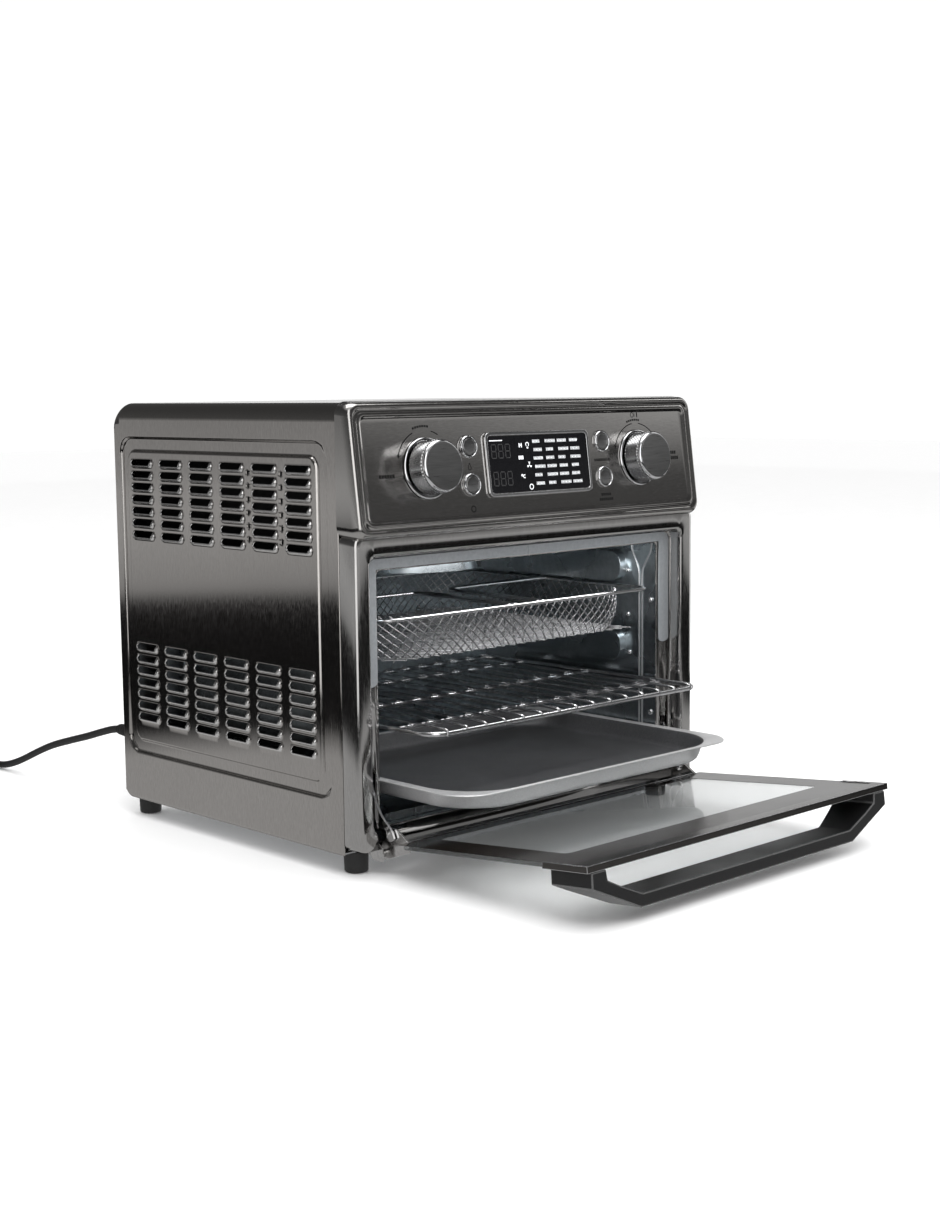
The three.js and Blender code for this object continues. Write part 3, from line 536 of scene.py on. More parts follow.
def side_relief(y, z):
    """How far the side sheet stands out, and where it is pierced."""
    groove_depth, groove_wall, louvre_height = 2.3, 1.9, 2.1
    outer = rounded_distance(y, z, *GROOVE_OUTSIDE, 15)
    inner = rounded_distance(y, z, *GROOVE_INSIDE, 9)
    relief = -groove_depth * smooth(-outer / groove_wall) * smooth(inner / groove_wall + 0.5)
    pierced = np.zeros(y.shape, bool)
    for cy in LOUVRE_Y:
        for cz in LOUVRE_Z:
            near = (np.abs(y - cy) < 18) & (np.abs(z - cz) < 6)
            if not near.any():
                continue
            a, b = y[near] - cy, z[near] - cz
            pocket = rounded_distance(a, b, -16, 16, -4.2, 6, 4)
            relief[near] += louvre_height * (smooth(-pocket / 1.5) * smooth((3.6 - b) / 3.2))
            pierced[near] |= (np.abs(a) < 13.6 - np.clip(0.2 - b, 0, 2) * 0.9) & (b > -1.9) & (b < 3.3)
    for cy, cz in VENT_HOLES:
        pierced |= (((y - cy) / 1.5) ** 2 + ((z - cz) / 2.3) ** 2) < 1
    return relief, pierced


def gather(values, gap=0.3):
    """The values in order, without those that lie too near the one before."""
    kept = []
    for v in sorted(values):
        if not kept or v - kept[-1] > gap:
            kept.append(v)
    return kept


def side_heights():
    """Heights of the side sheet's points, closer together at the groove and the louvres."""
    values = list(np.arange(CABINET_LOW, SIDE_TOP, 3.6))
    for edge in GROOVE_OUTSIDE[2:] + GROOVE_INSIDE[2:]:
        values += list(np.arange(edge - 3, edge + 3.1, 0.6))
    values += list(np.arange(57, 78, 1.5)) + list(np.arange(304, 327, 1.5))
    for z in LOUVRE_Z:
        values += [z + d for d in (-4.6, -4.0, -3.4, -2.8, -2.3, -1.9, -1.0, 0, 1.1, 2.2, 3.3, 3.9, 4.6)]
    return gather([v for v in values if CABINET_LOW <= v <= SIDE_TOP - 0.2]) + [SIDE_TOP]


def side_depths():
    """The same from front to rear."""
    values = list(np.arange(0, 285, 4.0))
    for edge in GROOVE_OUTSIDE[:2] + GROOVE_INSIDE[:2]:
        values += list(np.arange(edge - 3, edge + 3.1, 0.6))
    values += list(np.arange(13, 32, 1.5)) + list(np.arange(270, ROLL_START, 1.2))
    for y in LOUVRE_Y:
        for d in (16.5, 15.9, 15.3, 14.7, 14.2, 13.6, 12.6, 11.6, 10, 7, 3.5, 0):
            values += [y - d, y + d]
    for y, _ in VENT_HOLES:
        values += [y - 1.5, y - 0.75, y, y + 0.75, y + 1.5]
    return gather([v for v in values if 0 <= v <= ROLL_START - 0.3]) + [ROLL_START]


def outer_cover():
    """One sheet folded over the roof: side, bend, roof, bend, side. Its rear edge curls inwards."""
    half, top, bend, corner = HALF_WIDTH, CABINET_TOP, ROOF_BEND, 12
    heights = side_heights()
    path = [(-half, z, -1, 0) for z in heights]
    path += [(-half + bend - bend * cos(a), top - bend + bend * sin(a), -cos(a), sin(a))
             for a in (radians(10 * i) for i in range(1, 9))]
    path += [(x, top, 0, 1) for x in np.linspace(-half + bend, half - bend, 15)]
    path += [(-x, z, -nx, nz) for x, z, nx, nz in reversed(path[:len(heights) + 8])]
    lines = [(0, 1.3), (0.2, 0.7), (0.6, 0.25), (1.2, 0.05)]
    lines += [(y, 0) for y in side_depths() if y > 1.8]
    for a in (radians(22.5 * i) for i in range(1, 5)):
        lines.append((ROLL_START + ROLL * sin(a), ROLL - ROLL * cos(a)))
    lines += [(CABINET_BACK, 5), (CABINET_BACK, 8)]
    px, pz, nx, nz = (np.array(c)[:, None] for c in zip(*path))
    y = np.array([l[0] for l in lines])[None, :]
    curl = np.array([l[1] for l in lines])[None, :]
    drop = corner - np.sqrt(np.maximum(corner ** 2 - np.maximum(y - (CABINET_BACK - corner), 0) ** 2, 0))
    on_side = np.abs(nx) > 0.999
    z = np.where(on_side, np.minimum(np.maximum(pz, CABINET_LOW + drop), top - bend - drop), pz - drop)
    relief, pierced = side_relief(y + 0 * pz, pz + 0 * y)
    relief = np.where(on_side, relief, 0) - curl
    x = px + nx * relief
    z = z + nz * relief
    rows, cols = z.shape
    verts = np.stack([x / 1000, y / 1000 + FRONT_Y + 0 * x, z / 1000], -1).reshape(-1, 3)
    mid_y = (y[:, :-1] + y[:, 1:]) / 2 + 0 * pz[:-1]
    mid_z = (pz[:-1] + pz[1:]) / 2 + 0 * mid_y
    raised, holes = side_relief(mid_y, mid_z)
    holes &= on_side[:-1] & on_side[1:]
    cells = [(i, j) for i in range(rows - 1) for j in range(cols - 1) if not holes[i, j]]
    faces = [(i * cols + j, i * cols + j + 1, (i + 1) * cols + j + 1, (i + 1) * cols + j) for i, j in cells]
    cover = piece("cabinet_cover", verts.tolist(), faces, "oven", "cabinet_steel", [SIDE_STEEL, LIP_HIGHLIGHT_STEEL],
                  ("outer_shell",))
    # Painted highlight: the raised louvre hoods take the lighter steel, the rest of the sheet the side steel.
    for polygon, (i, j) in zip(cover.data.polygons, cells):
        polygon.material_index = int(raised[i, j] > 0.5 and on_side[i, 0])
    thicken(cover, SHEET)


def cut(bm, point, normal):
    """Adds edges where a plane crosses the mesh."""
    everything = bm.verts[:] + bm.edges[:] + bm.faces[:]
    bmesh.ops.bisect_plane(bm, geom=everything, plane_co=point, plane_no=normal)


def front_surround():
    """The pressed steel surround: outer wall, face, rolled step into the recess, flange and mouth."""
    rows = [  # half width, low, high, corner radius, y
        (191.5, 21, 258, 6, -0.3), (192.2, 20.3, 258, 6, -0.8), (192.5, 20, 258, 7, -1.6),
        (192.5, 20, 258, 8, -14.6), (191.6, 20.4, 257.7, 8, -17.2), (189.4, 21.6, 257, 8, -18.6),
        (187, 23.4, 256, 8, -18.9), (180.4, 30, 243.6, 7, -18.9), (178.6, 31.6, 241.8, 7.4, -18.4),
        (177.4, 32.6, 240.6, 7.4, -17), (177, 33, 240.2, 7.2, -15), (177, 33, 240.2, 7.2, -7.6),
        (176.4, 33.4, 239.6, 7, -6.2), (174.8, 34, 238, 7, -5.5),
        (162, 34.2, 231.4, 5, -5.5), (160.2, 34.2, 229.6, 4.4, -5), (159.6, 34.2, 229.1, 4, -3.9),
    ]
    loops = [[at(a, y, b) for a, b in outline(-h, h, low, high, r)] for h, low, high, r, y in rows]
    obj = piece("front_surround", *skin(loops), "oven", "front_steel", [BRIGHT_STEEL, SILL_SHADE_STEEL],
                ("front_frame",))
    # Painted shade: the surround's sill below the mouth takes the darker steel.
    sill_top, half_mouth = 0.0345, 0.165
    for polygon in obj.data.polygons:
        polygon.material_index = int(polygon.center.z < sill_top and abs(polygon.center.x) < half_mouth)
    bm = bmesh.new()
    bm.from_mesh(obj.data)
    for x in (-ARM_SLOT_OUTSIDE, -ARM_SLOT_INSIDE, ARM_SLOT_INSIDE, ARM_SLOT_OUTSIDE):
        cut(bm, at(x, 0, 0), (1, 0, 0))
    cut(bm, at(0, 0, ARM_SLOT_TOP), (0, 0, 1))
    gone = []
    for part in bm.faces:
        middle = part.calc_center_median() * 1000
        if ARM_SLOT_INSIDE < abs(middle.x) < ARM_SLOT_OUTSIDE and middle.z < ARM_SLOT_TOP:
            gone.append(part)
    bmesh.ops.delete(bm, geom=gone, context="FACES")
    bm.to_mesh(obj.data)
    bm.free()
    thicken(obj, SHEET)


def seal_strip():
    """The satin strip round the mouth's top and upper sides, with rounded lower ends."""
    low, middle = 145.5, 168
    for side, s in SIDES:
        points = [(s * 0.2, 230.6), (s * 161, 230.6), (s * 161.6, 230), (s * 161.6, low)]
        for a in (radians(18 * i) for i in range(11)):
            points.append((s * (middle - 6.4 * cos(a)), low - 3.4 * sin(a)))
        points += [(s * 174.4, low), (s * 174.4, 232), (s * 172.6, 236.4)]
        points += [(s * middle, 238.4), (s * 0.2, 238.4)]
        loops = [[at(x, y, z) for x, z in points] for y in (-5.7, -6.3)]
        strip = piece(f"mouth_strip_{side}", *skin(loops, True, True), "oven", "cavity_steel", SATIN_GREY)
        round_edges(strip, 0.25)


def feet():
    for row in ("front", "rear"):
        for side, s in SIDES:
            softened(f"foot_{row}_{side}", 0.8, RUBBER)
            if row == "rear":
                foot_tab(side, s)


def foot_tab(side, s):
    """The small tab and screw in front of a rear foot."""
    foot_x, front, back = 176.5, 272.6, 274.2
    section = outline(foot_x - 6, foot_x + 6, 10.4, 18, 1.5, 3)
    loops = [[at(s * x, y, z) for x, z in section] for y in (front, back)]
    tab = piece(f"foot_tab_{side}", *skin(loops, True, True), "oven", "handle_black", BLACK)
    round_edges(tab, 0.3)
    screw(f"foot_screw_{side}", at(s * foot_x, front, 13.5), Vector((0, -1, 0)), 2.4, "oven")


def screw(name, centre, normal, radius, body, mat=None):
    """A small domed cross head, for a screw or a rivet."""
    side = normal.orthogonal().normalized()
    other = normal.cross(side)
    place = lambda a, b, h: centre + (side * a + other * b + normal * h) / 1000
    cross = lambda a, k: -0.22 * radius * max(0, cos(4 * a)) if k == 4 else 0
    profile = [(r * radius, h * radius) for r, h in SCREW_PROFILE] + [(0.02, 0.36 * radius)]
    return turned(name, profile, place, body, "chrome_wire", mat or CHROME, (), 24, cross)


outer_cover()
front_surround()
seal_strip()
feet()
# Painted shade: black sheets inside each side, behind its upper openings, so that no light shows through
# them.
for side, s in SIDES:  # dark sheets behind the side's upper openings
    loops = [[at(s * x, a, b) for a, b in outline(4, 290, 238, 346, 4, 3)] for x in (176, 176.7)]
    piece(f"side_shade_sheet_{side}", *skin(loops, True, True), "oven", "cavity_steel", INK_AND_SHADE)
softened("rear_panel", 0.25, ZINC)
softened("base_plate", 0.25, ZINC)
for i, (x, z) in enumerate(REAR_SCREWS):
    screw(f"rear_screw_{i}", at(x, SCREW_HEAD_Y, z), Vector((0, 1, 0)), 3.2, "oven", ZINC)


# ---- control fascia ----

def face(x, v, n=0.0):
    """A point on the sloping control face: across, up the slope, out of it."""
    y = FACE_FOOT_Y + v * sin(SLOPE) - n * cos(SLOPE)
    z = FACE_FOOT_Z + v * cos(SLOPE) + n * sin(SLOPE)
    return at(x, y, z)


def fascia_cover():
    """The sloping front sheet, with a raised bead and a groove all round its face."""
    low, high = -3.53, 98.3
    loops = [[at(x, -0.4, z) for x, z in outline(-FASCIA_HALF, FASCIA_HALF, 254.5, 355.5, 10)]]
    steps = [  # inset from the edge, height above the face
        (0, -6), (0.3, -3.4), (1.1, -1.2), (2.3, 0.5), (3.6, 1.4), (4.6, 1.5), (5.5, 1.0), (6.4, 0.1),
        (7.4, 0.0), (8.6, 1.0), (9.8, 1.5), (11.0, 1.3), (12.2, 0.5), (13.4, 0),
    ]
    for inset, n in steps:
        half = FASCIA_HALF - inset
        ring = outline(-half, half, low + inset, high - inset, max(10 - inset * 0.4, 5))
        loops.append([face(x, v, n) for x, v in ring])
    obj = piece("fascia_cover", *skin(loops, False, True), "oven", "cabinet_steel", FACE_STEEL,
                ("control_fascia",))
    obj.data.set_sharp_from_angle(angle=radians(60))


def flat(name, polygons, mat, n, slot="handle_black", height=0.12):
    """Thin printed or lit shapes on the control face."""
    verts, faces = [], []
    for polygon in polygons:
        base, count = len(verts), len(polygon)
        verts += [face(x, v, n) for x, v in polygon] + [face(x, v, n + height) for x, v in polygon]
        faces.append(tuple(range(base + count, base + 2 * count)))
        for i in range(count):
            a, b = base + i, base + (i + 1) % count
            faces.append((a, b, b + count, a + count))
    return piece(name, verts, faces, "oven", slot, mat, smooth=False)


def bar(x, v, width, height):
    """A rectangle from its lower left corner."""
    return [(x, v), (x + width, v), (x + width, v + height), (x, v + height)]


def arc(cx, cv, radius, width, start, end, steps=20):
    """A curved band as four-sided shapes; the angles are in degrees."""
    angles = [radians(start + (end - start) * i / steps) for i in range(steps + 1)]
    ring = [(cx + (radius + width) * cos(a), cv + (radius + width) * sin(a)) for a in angles]
    inside = [(cx + radius * cos(a), cv + radius * sin(a)) for a in reversed(angles)]
    return [[ring[i], ring[i + 1], inside[steps - i - 1], inside[steps - i]] for i in range(steps)]


def arrowhead(cx, cv, radius, angle, direction, size=1.6):
    a = radians(angle)
    tip = radians(angle + direction * 5)
    return [(cx + radius * cos(tip), cv + radius * sin(tip)),
            (cx + (radius + size) * cos(a), cv + (radius + size) * sin(a)),
            (cx + (radius - size) * cos(a), cv + (radius - size) * sin(a))]


def segments(x, v, width, height, stroke=0.9):
    """All seven segments of one figure."""
    h = height / 2
    out = []
    for k in range(3):
        y = v + k * (height - stroke) / 2
        left, right, middle = x + 0.9, x + width - 0.9, y + stroke / 2
        out.append([(left, y), (right, y), (x + width - 0.5, middle),
                    (right, y + stroke), (left, y + stroke), (x + 0.5, middle)])
    for left in (x, x + width - stroke):
        middle, right = left + stroke / 2, left + stroke
        for k in range(2):
            y = v + k * (h - stroke / 2) + 0.7
            low, high = y + 0.4, y + h - 1.4
            out.append([(left, low), (middle, y), (right, low),
                        (right, high), (middle, y + h - 1), (left, high)])
    return out


def display_marks():
    """Unlit figures, rows of short bars in place of words, and plain signs."""
    above_glass = 1.72
    dim = []
    for v in (CONTROL + 4.5, CONTROL - 17):
        for k in range(3):
            dim += segments(-53 + k * 7.6, v, 5.8, 11.5)
    flat("unlit_figures", dim, DIM, above_glass, "display_glass")
    lit = [bar(-54, CONTROL + 18.3, 14, 0.7)]
    for row in range(6):
        v = CONTROL + 15.8 - row * 6.7
        for k in range(4):
            strokes = 7 + (row * 5 + k * 3) % 4
            x = -6.4 + k * 14.2 + (row % 2) * 0.7
            for c in range(strokes):
                lit.append(bar(x + c * 1.2, v, 0.4, 2.5))
                if (c + row) % 3 == 0 and c < strokes - 1:
                    lit.append(bar(x + c * 1.2 + 0.6, v + 1.0, 0.9, 0.35))
    lit += [bar(-22, CONTROL + 12.6, 0.8, 3.4), bar(-19.6, CONTROL + 12.6, 0.8, 3.4)]
    lit.append(bar(-22, CONTROL + 14, 3, 0.7))
    lit += [bar(-23.4 + i * 1.9, CONTROL + 3.2, 1.3, 2.8) for i in range(3)]
    lit += arc(-21.4, CONTROL - 9.4, 0.5, 0.5, 0, 360, 10) + arc(-18.8, CONTROL - 10.3, 0.9, 0.6, 50, 310, 10)
    lamp = (-12.6, CONTROL + 14.8)
    lit += arc(*lamp, 1.3, 0.6, -50, 230, 14) + [bar(lamp[0] - 0.7, lamp[1] - 3.2, 1.4, 1.3)]
    fan = (-12.2, CONTROL - 1.6)
    for k in range(3):
        a = radians(90 + 120 * k)
        lit.append([fan, (fan[0] + 2.6 * cos(a - 0.4), fan[1] + 2.6 * sin(a - 0.4)),
                    (fan[0] + 2.8 * cos(a + 0.3), fan[1] + 2.8 * sin(a + 0.3))])
    lit += arc(-12, CONTROL - 18.8, 1.7, 0.6, 0, 360, 16)
    flat("lit_marks", lit, LIT, above_glass, "display_glass")


def fascia_print():
    """Printed marks: turning arrows, bars in place of words, and plain signs."""
    ink = []
    for s in (-1, 1):
        cx = s * KNOB_X
        ink += arc(cx, CONTROL, 28.6, 0.75, 112 if s < 0 else 98, 158)
        ink.append(arrowhead(cx, CONTROL, 28.8, 158, 1))
        ink += arc(cx, CONTROL, 28.6, 0.75, 60 if s < 0 else 40, 74 if s < 0 else 82)
        for k in range(7):
            ink += arc(cx, CONTROL, 31, 1.7, 80 + k * 4.4, 83 + k * 4.4, 2)
    large, small = (2.6, 2.0, 2.8), (2.4, 1.6, 2.2)  # pitch, width, height
    for x, rise, count, (pitch, width, height) in (
        (-168, -6, 6, large), (157, 1.6, 5, large), (157, -3, 6, large),
        (66, -1.4, 8, small), (70.5, -30, 5, small), (68, -34, 7, small),
    ):
        ink += [bar(x + k * pitch, CONTROL + rise, width, height) for k in range(count)]
    ink += arc(-BUTTON_X, CONTROL - 1.4, 1.3, 0.5, -220, 40, 14)
    ink += [[(-77.3, CONTROL - 0.4), (-76.9, CONTROL - 0.6), (-75.5, CONTROL + 2.6), (-75.9, CONTROL + 2.6)],
            [(-74.1, CONTROL - 0.4), (-74.5, CONTROL - 0.6), (-75.9, CONTROL + 2.6), (-75.5, CONTROL + 2.6)]]
    ink += arc(-BUTTON_X, CONTROL - 33, 1.9, 0.8, 0, 360, 18)
    ink += arc(117.5, CONTROL + 36, 1.7, 0.5, 0, 360, 14)
    ink += [bar(123, CONTROL + 34, 1.1, 4.2), bar(120.2, CONTROL + 34.4, 0.4, 3.4)]
    flat("printed_marks", ink, INK_AND_SHADE, 0.02, height=0.06)


def knob(side, s):
    """Knurled barrel with a dark ring and a brushed, chamfered cap."""
    body = f"dial_{side}"
    place = lambda a, b, h: face(s * KNOB_X + a, CONTROL + b, h)
    barrel = [(19.2, 2.5), (20.0, 3.0)] + [(20.0, 3.6 + 1.4 * k) for k in range(10)]
    barrel += [(19.7, 16.8), (18, 16.9)]
    ripple = lambda a, k: 0.6 * cos(48 * a + pi * (k % 2)) if 1 < k < 12 else 0
    turned(f"dial_barrel_{side}", barrel, place, body, "control_chrome", KNURL, (f"knob_{side}",),
           192, ripple)
    neck = [(18.6, 16.6), (19.0, 16.7), (19.0, 17.5), (18.6, 17.6)]
    turned(f"dial_neck_{side}", neck, place, body, "handle_black", BLACK, (), 72)
    cap = [(18.4, 17.3), (19.8, 17.4), (20.0, 17.9), (19.9, 18.6), (18.7, 20.0), (18.3, 20.2), (17.9, 20.1),
           (17.4, 20.05), (0.02, 20.15)]
    obj = turned(f"dial_cap_{side}", cap, place, body, "control_chrome", [CHROME, BUTTON_GREY], (), 96)
    top, outward, brushed_radius = face(s * KNOB_X, CONTROL, 20), face(0, 0, 1) - face(0, 0, 0), 0.0178
    for polygon in obj.data.polygons:
        if (polygon.center - top).length < brushed_radius and abs(polygon.normal.dot(outward)) > 0.0009:
            polygon.material_index = 1
    base = [(5.2, 0.3), (23, 0.3), (23.2, 0.9), (22.9, 1.7), (22.2, 2.1), (21.5, 1.9), (21.3, 1.2),
            (20.6, 0.9), (5.2, 0.9)]
    turned(f"dial_base_{side}", base, place, "oven", "control_chrome", [BLACK], (f"knob_ring_{side}",), 96)
    rim = [(21.6, 0.9), (23.3, 0.5), (23.4, 1.2), (22.9, 2.0), (22.3, 2.2), (21.7, 1.9)]
    turned(f"dial_rim_{side}", rim, place, "oven", "control_chrome", CHROME, (), 96)


def push_button(level, side, s, v):
    """A domed cap in a chrome ring."""
    where = f"{level}_{side}"
    place = lambda a, b, h: face(s * BUTTON_X + a, v + b, h)
    ring = [(7.0, -3.4), (7.4, -3.4), (7.5, 0.2), (9.0, 0.25), (9.1, 0.9), (8.8, 1.9), (8.2, 2.5), (7.6, 2.5),
            (7.1, 2.0), (6.95, 1.2), (6.95, -3.2)]
    turned(f"push_ring_{where}", ring, place, "oven", "control_chrome", CHROME, (f"button_ring_{where}",))
    cap = [(6.2, -4), (6.6, -3.8), (6.6, 1.6), (6.35, 2.0), (5.6, 2.25), (4, 2.4), (2, 2.5), (0.02, 2.52)]
    turned(f"push_cap_{where}", cap, place, f"push_{where}", "button_steel", BUTTON_GREY,
           (f"button_{where}",))


fascia_cover()
display_marks()
fascia_print()
softened("display_bezel", 0.7, CHROME, 3)
softened("display_window", 0.3, DISPLAY)
for side, s in SIDES:
    knob(side, s)
    for level, v in BUTTON_V:
        push_button(level, side, s, v)
    for node in (f"encoder_{side}", f"encoder_shaft_{side}"):
        softened(node, 0.2, ZINC)
softened("control_board", 0.2, CIRCUIT)
softened("power_board", 0.2, CIRCUIT)


# ---- cavity, heaters and fan ----

for node in ("cavity_left_wall", "cavity_right_wall"):
    softened(node, 1.6, CAVITY_STEEL, 3)
for node in ("cavity_roof", "cavity_floor", "cavity_back_wall", "crumb_tray", "fan_guard"):
    softened(node, 0.25, CAVITY_STEEL)
for node in ("upper_heater_front", "upper_heater_rear", "lower_heater_front", "lower_heater_rear"):
    softened(node, 0.5, HEATER)
for node in ("fan_rotor", "fan_motor", "motor_bracket"):
    softened(node, 0.3, ZINC)
for side, s in SIDES:
    inward = Vector((-s, 0, 0))
    for k, (y, z) in enumerate(((28, 203), (28, 164), (26, 130), (22, 102), (262, 203), (262, 130))):
        screw(f"wall_rivet_{side}_{k}", at(s * WALL_X, y, z), inward, 2.4, "oven")
    for k, z in enumerate((178.6, 79.3)):
        screw(f"post_screw_{side}_{k}", at(s * WALL_X, 1.3, z), inward, 2.6, "oven")
    ribs = []
    for y, top in ((14.6, 23.6), (11.2, 0.4)):
        run = [at(s * (WALL_X - 0.2), *p) for p in ((y, 40), (y, 205), (top, 223), (top, 234))]
        ribs.append((rounded_run(run, 6), False))
    wires(f"wall_ribs_{side}", ribs, 0.9, "oven", ZINC)


# ---- baking pan ----

def baking_pan():
    x, y0, y1 = 157.3, -97, 141
    steps = [  # inset across, inset along, height, corner radius
        (0.3, 0.3, 68.2, 27.5), (0, 0, 68.9, 28), (0.4, 0.4, 69.4, 28), (1.2, 1.2, 69.5, 28),
        (7.0, 3.2, 69.4, 44), (8.2, 4.2, 69.0, 48.6), (9.0, 5.0, 68.0, 49), (9.6, 5.6, 66.4, 49),
        (12.2, 8.4, 58.6, 46), (13.2, 9.6, 56.4, 45), (15, 11.4, 55, 43), (18.5, 15, 54.3, 40),
        (40, 36, 54.1, 28), (80, 70, 54.4, 18),
    ]
    loops = []
    for ix, iy, z, r in steps:
        loops.append([at(a, b, z) for a, b in outline(-x + ix, x - ix, y0 + iy, y1 - iy, r, 12)])
    mats = [NON_STICK, PAN_OUTSIDE, PAN_OUTSIDE]
    pan = piece("pan_form", *skin(loops, False, True), "pan", "nonstick", mats, ("baking_pan",))
    mod = pan.modifiers.new("sheet", "SOLIDIFY")
    mod.thickness = 0.0008
    mod.offset = -1 if pan.data.polygons[-1].normal.z > 0 else 1
    mod.material_offset = 1
    mod.material_offset_rim = 1
    rim = len(loops[0])
    for polygon in pan.data.polygons[:rim * 5]:
        polygon.material_index = 1


# ---- wire rack and basket ----

def wire_rack():
    half, y0, y1, z = 155, -61, 197, 110
    hoop = [at(a, b, z) for a, b in outline(-half + 2, half - 2, y0 + 2, y1 - 2, 17, 8)]
    wires("rack_hoop", [(hoop, True)], 2.0, "rack", WIRE, ("wire_rack",))
    bars = []
    count, pitch = 15, 20
    profile = ((y0 + 1.4, z - 1.6), (y0 + 1.6, z + 2.6), (y0 + 9, z + 3.4),
               (y1 - 9, z + 3.4), (y1 - 1.6, z + 2.6), (y1 - 1.4, z - 1.6))
    for i in range(count):
        x = (i - (count - 1) / 2) * pitch
        bars.append((rounded_run([at(x, *p) for p in profile], 3.4), False))
    wires("rack_bars", bars, 1.2, "rack", WIRE)
    cross = []
    for y in (y0 + 46, (y0 + y1) / 2, y1 - 46):
        cross.append(([at(-half + 2, y, z - 0.4), at(half - 2, y, z - 0.4)], False))
    wires("rack_cross_wires", cross, 1.6, "rack", WIRE)


def basket_level(t, steps=10):
    """The basket's outline at height t, from 0 at the floor to 1 at the rim."""
    inset = 9 + 8 * (1 - t) ** 2.4
    corner = 48 + 12 * t
    z = 156.7 + 33.5 * t
    half, front, rear = 154 - inset, -8 + inset - 5, 242 - inset + 5
    return [at(a, b, z) for a, b in outline(-half, half, front, rear, corner, steps)]


def along(loop, distance):
    """The point a fraction of the way round a closed loop, by length."""
    ends = loop[1:] + loop[:1]
    lengths = [(b - a).length for a, b in zip(loop, ends)]
    left = (distance % 1) * sum(lengths)
    for a, b, length in zip(loop, ends, lengths):
        if left <= length:
            return a.lerp(b, left / length if length else 0)
        left -= length
    return loop[0]


def fry_basket():
    """Two families of slanting wires over the walls and the floor, held by a rim and two bent braces."""
    levels = [basket_level(k / 5) for k in range(6)]
    count, slant = 108, 0.82
    mesh = []
    for i in range(count):
        for lean in (-1, 1):
            mesh.append(([along(levels[k], (i + lean * k * slant) / count) for k in range(6)], False))
    floor = basket_level(0)
    xs = [p.x for p in floor]
    ys = [p.y for p in floor]
    cx, cy = (max(xs) + min(xs)) / 2, (max(ys) + min(ys)) / 2
    hx, hy = (max(xs) - min(xs)) / 2, (max(ys) - min(ys)) / 2
    z = floor[0].z
    pitch, shortest = 0.0118, 0.012  # metres
    reach = int((hx + hy) / pitch)
    for lean in (-1, 1):
        for k in range(-reach, reach + 1):
            c = k * pitch
            low, high = max(-hx, lean * c - hy), min(hx, lean * c + hy)
            if high - low > shortest:
                places = (low, (low + high) / 2, high)
                mesh.append(([Vector((cx + t, cy + (lean * t - c), z)) for t in places], False))
    wires("basket_mesh", mesh, 0.5, "basket", MESH_WIRE, ("fry_basket",), sides=1)
    rim = [at(a, b, 190.2) for a, b in outline(-152, 152, -6, 240, 14, 10)]
    wires("basket_rim", [(rim, True)], 1.5, "basket", WIRE)
    braces = []
    for s in (-1, 1):
        for shift in (-3.2, 3.2):
            run = [at(s * 150, 122 + shift, 191), at(s * (19 + shift * 0.3), 112 + shift * 0.4, 192),
                   at(s * (16 + shift), 96, 192), at(s * (16 + shift), -4, 191)]
            braces.append((rounded_run(run, 14), False))
    wires("basket_braces", braces, 1.5, "basket", WIRE)


baking_pan()
wire_rack()
fry_basket()


# ---- door ----

def door_at(x, u, w):
    """A point on the open door: across, from the hinge edge to the handle, towards its outside."""
    y = DOOR_Y - u * cos(TILT) - w * sin(TILT)
    z = DOOR_Z + u * sin(TILT) - w * cos(TILT)
    return at(x, y, z)


def glass_border():
    """The dark printed border on the pane, with a rounded clear window."""
    outside = outline(-175, 175, 10, 190, 2, 6)
    window = outline(-146, 146, 24, 155, 4, 6)
    loops = []
    for ring, w in ((outside, 0.95), (window, 0.95), (window, 0.7), (outside, 0.7)):
        loops.append([door_at(x, u, w) for x, u in ring])
    piece("glass_border", *skin(loops, join_ends=True), "door", "display_glass", FRIT, smooth=False)


glass_border()
softened("door_glass", 0.4, GLASS)
# Painted shade: the trims' steel faces are coloured near black; their rounded edges take chrome as a painted
# highlight.
softened("door_top_trim", 0.8, [DOOR_TRIM_SHADE, CHROME], 3)
softened("door_bottom_trim", 0.45, [DOOR_TRIM_SHADE, CHROME])
# Painted highlight: the handle's rounded edges take a lighter black than its faces.
softened("handle", 1.0, [BLACK, HANDLE_EDGE_HIGHLIGHT], 3)
for side, s in SIDES:
    softened(f"door_hinge_{side}", 0.3, HINGE_STEEL)
    softened(f"hinge_mount_{side}", 0.3, HINGE_STEEL)
    softened(f"door_arm_{side}", 0.35, CHROME)
    inward = Vector((-s, 0, 0))
    screw(f"arm_rivet_{side}", at(s * ARM_FACE, -26.6, 33.6), inward, 3.2, "door")
    screw(f"pin_head_{side}", at(s * ARM_FACE, -17, 17.5), inward, 3.4, "oven", ZINC)


# ---- studio ----

def square(half, z):
    return [(-half, -half, z), (half, -half, z), (half, half, z), (-half, half, z)]


def stage_sheet(name, corners, mat):
    mesh = bpy.data.meshes.new(name)
    mesh.from_pydata(corners, [], [tuple(range(len(corners)))])
    obj = new_object(name, mesh)
    obj.data.materials.append(mat)
    return obj


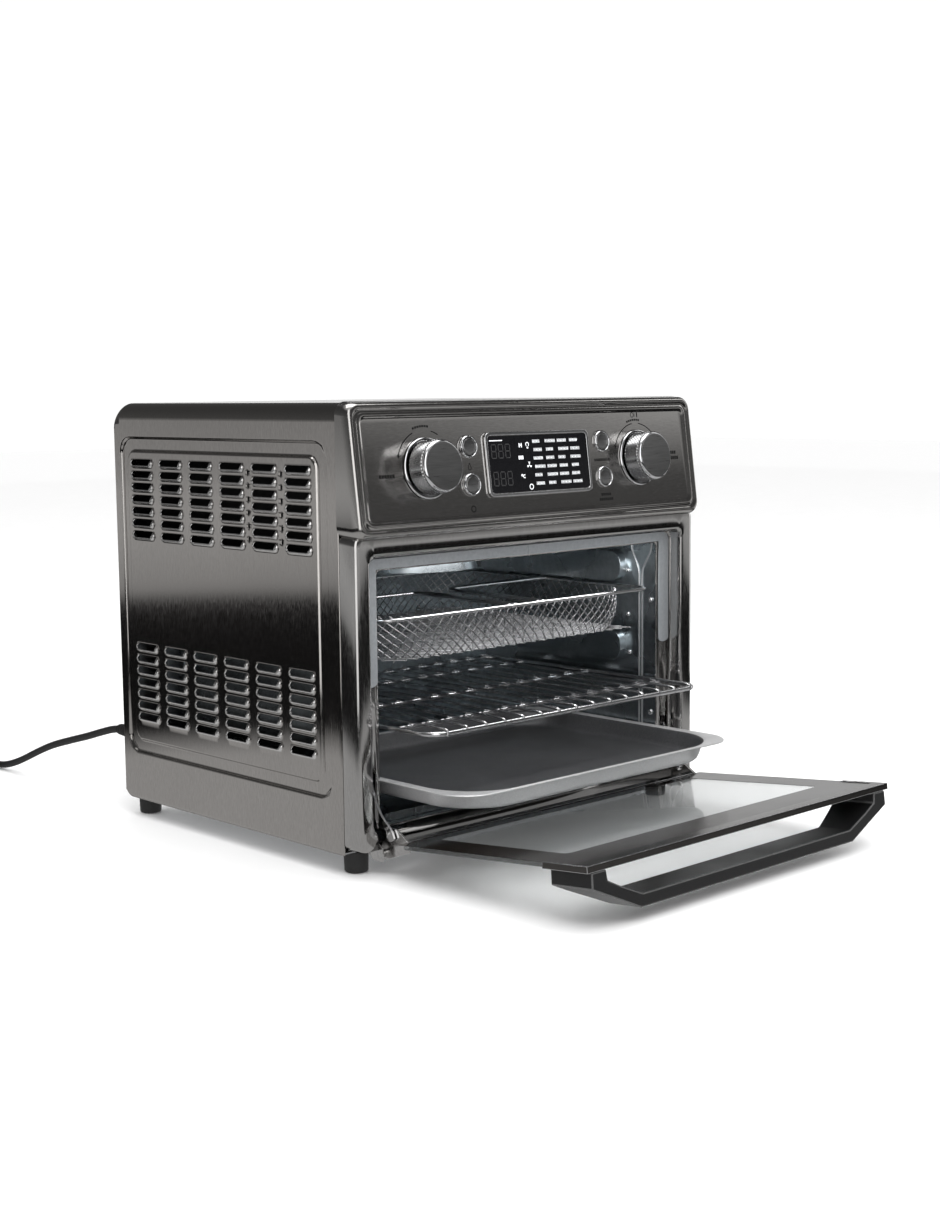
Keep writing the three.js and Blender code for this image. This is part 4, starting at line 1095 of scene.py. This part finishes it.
def reflector(obj, stops, axis=None, strength=1.0):
    """A surface that only shows in reflections.

    Its glow follows an axis or, without one, the distance from the oven in units of 5 m.
    """
    mat = obj.data.materials[0]
    mat.node_tree.nodes.clear()
    out = add(mat, "OutputMaterial")
    glow = add(mat, "Emission", Strength=strength)
    ramp = add(mat, "ValToRGB")
    measure = add(mat, "VectorMath")
    source = add(mat, "TexCoord").outputs["Object"]
    if axis:
        measure.operation = "DOT_PRODUCT"
        measure.inputs[1].default_value = axis
    else:
        measure.operation = "LENGTH"
        shrink = add(mat, "Mapping", Scale=(0.2, 0.2, 0.2))
        join(mat, source, shrink.inputs["Vector"])
        source = shrink.outputs["Vector"]
    join(mat, source, measure.inputs[0])
    join(mat, measure.outputs["Value"], ramp.inputs["Fac"])
    elements = ramp.color_ramp.elements
    while len(elements) < len(stops):
        elements.new(0.5)
    for element, (place, level) in zip(elements, stops):
        element.position = place
        element.color = (level, level, level, 1)
    join(mat, ramp.outputs["Color"], glow.inputs["Color"])
    join(mat, glow.outputs["Emission"], out.inputs["Surface"])
    obj.visible_camera = obj.visible_diffuse = obj.visible_shadow = obj.visible_transmission = False
    return obj


def dome(stops):
    bm = bmesh.new()
    bmesh.ops.create_icosphere(bm, subdivisions=3, radius=6)
    mesh = bpy.data.meshes.new("dome")
    bm.to_mesh(mesh)
    bm.free()
    obj = new_object("dome", mesh)
    mesh.materials.append(node_material("dome"))
    return reflector(obj, stops, (0, 0, 1 / 6))


def panel(name, toward, distance, width, low, high, level, fade=0.15):
    """An upright bright reflector, facing the oven from a compass direction in degrees from +Y towards +X."""
    a = radians(toward)
    centre = Vector((sin(a), cos(a), 0)) * distance
    side = Vector((cos(a), -sin(a), 0)) * (width / 2)
    corners = [centre - side + Vector((0, 0, low)), centre + side + Vector((0, 0, low)),
               centre + side + Vector((0, 0, high)), centre - side + Vector((0, 0, high))]
    obj = stage_sheet(name, corners, node_material(name))
    return reflector(obj, [(0, fade), (0.2, 1), (1, 1)], (0, 0, 1 / high), level)


def area_light(name, position, target, size, power):
    data = bpy.data.lights.new(name, "AREA")
    data.shape = "RECTANGLE"
    data.size, data.size_y = size
    data.energy = power
    obj = new_object(name, data)
    obj.location = position
    obj.rotation_euler = (Vector(target) - Vector(position)).to_track_quat("-Z", "Y").to_euler()
    obj.visible_camera = False
    return obj


def studio():
    floor_mat = speckled("floor", (0.93, 0.93, 0.93), (0.96, 0.96, 0.96), 0.8, 0, 40, 0.02)
    stage_sheet("floor", square(9, -0.0004), floor_mat)
    world = bpy.data.worlds.new("studio")
    world.use_nodes = True
    fill(world.node_tree.nodes["Background"], Color=(1, 1, 1, 1), Strength=1.04)
    bpy.context.scene.world = world
    dome([(0, 0.40), (0.08, 0.28), (0.20, 0.09), (0.74, 0.05), (0.92, 0.75)])
    low = stage_sheet("floor_reflection", square(5.5, 0.0002), node_material("floor_reflection"))
    reflector(low, [(0, 0.46), (0.115, 0.46), (0.145, 0.012), (0.38, 0.008), (0.42, 0.40), (0.7, 0.50)])
    panel("back_right_panel", 43, 3.2, 3.6, 0.0, 1.1, 0.85)
    panel("right_panel", 98, 0.9, 0.22, 0.0, 1.2, 1.4, 0.7)
    panel("corner_panel", 225, 0.95, 0.5, 0.0, 1.6, 1.7, 0.7)
    area_light("key", (-0.9, -1.3, 1.7), (0, 0, 0.15), (1.2, 1.0), 20).visible_glossy = False
    area_light("top", (0.1, 0.1, 1.9), (0, 0, 0.1), (1.6, 1.2), 14)
    area_light("fill", (1.5, -1.1, 0.9), (0, 0, 0.15), (0.8, 1.2), 10).visible_glossy = False
    area_light("cavity", at(0, -6, 224), at(0, 60, 60), (0.26, 0.03), 0.24)
    bpy.context.scene.view_settings.view_transform = "Standard"


studio()
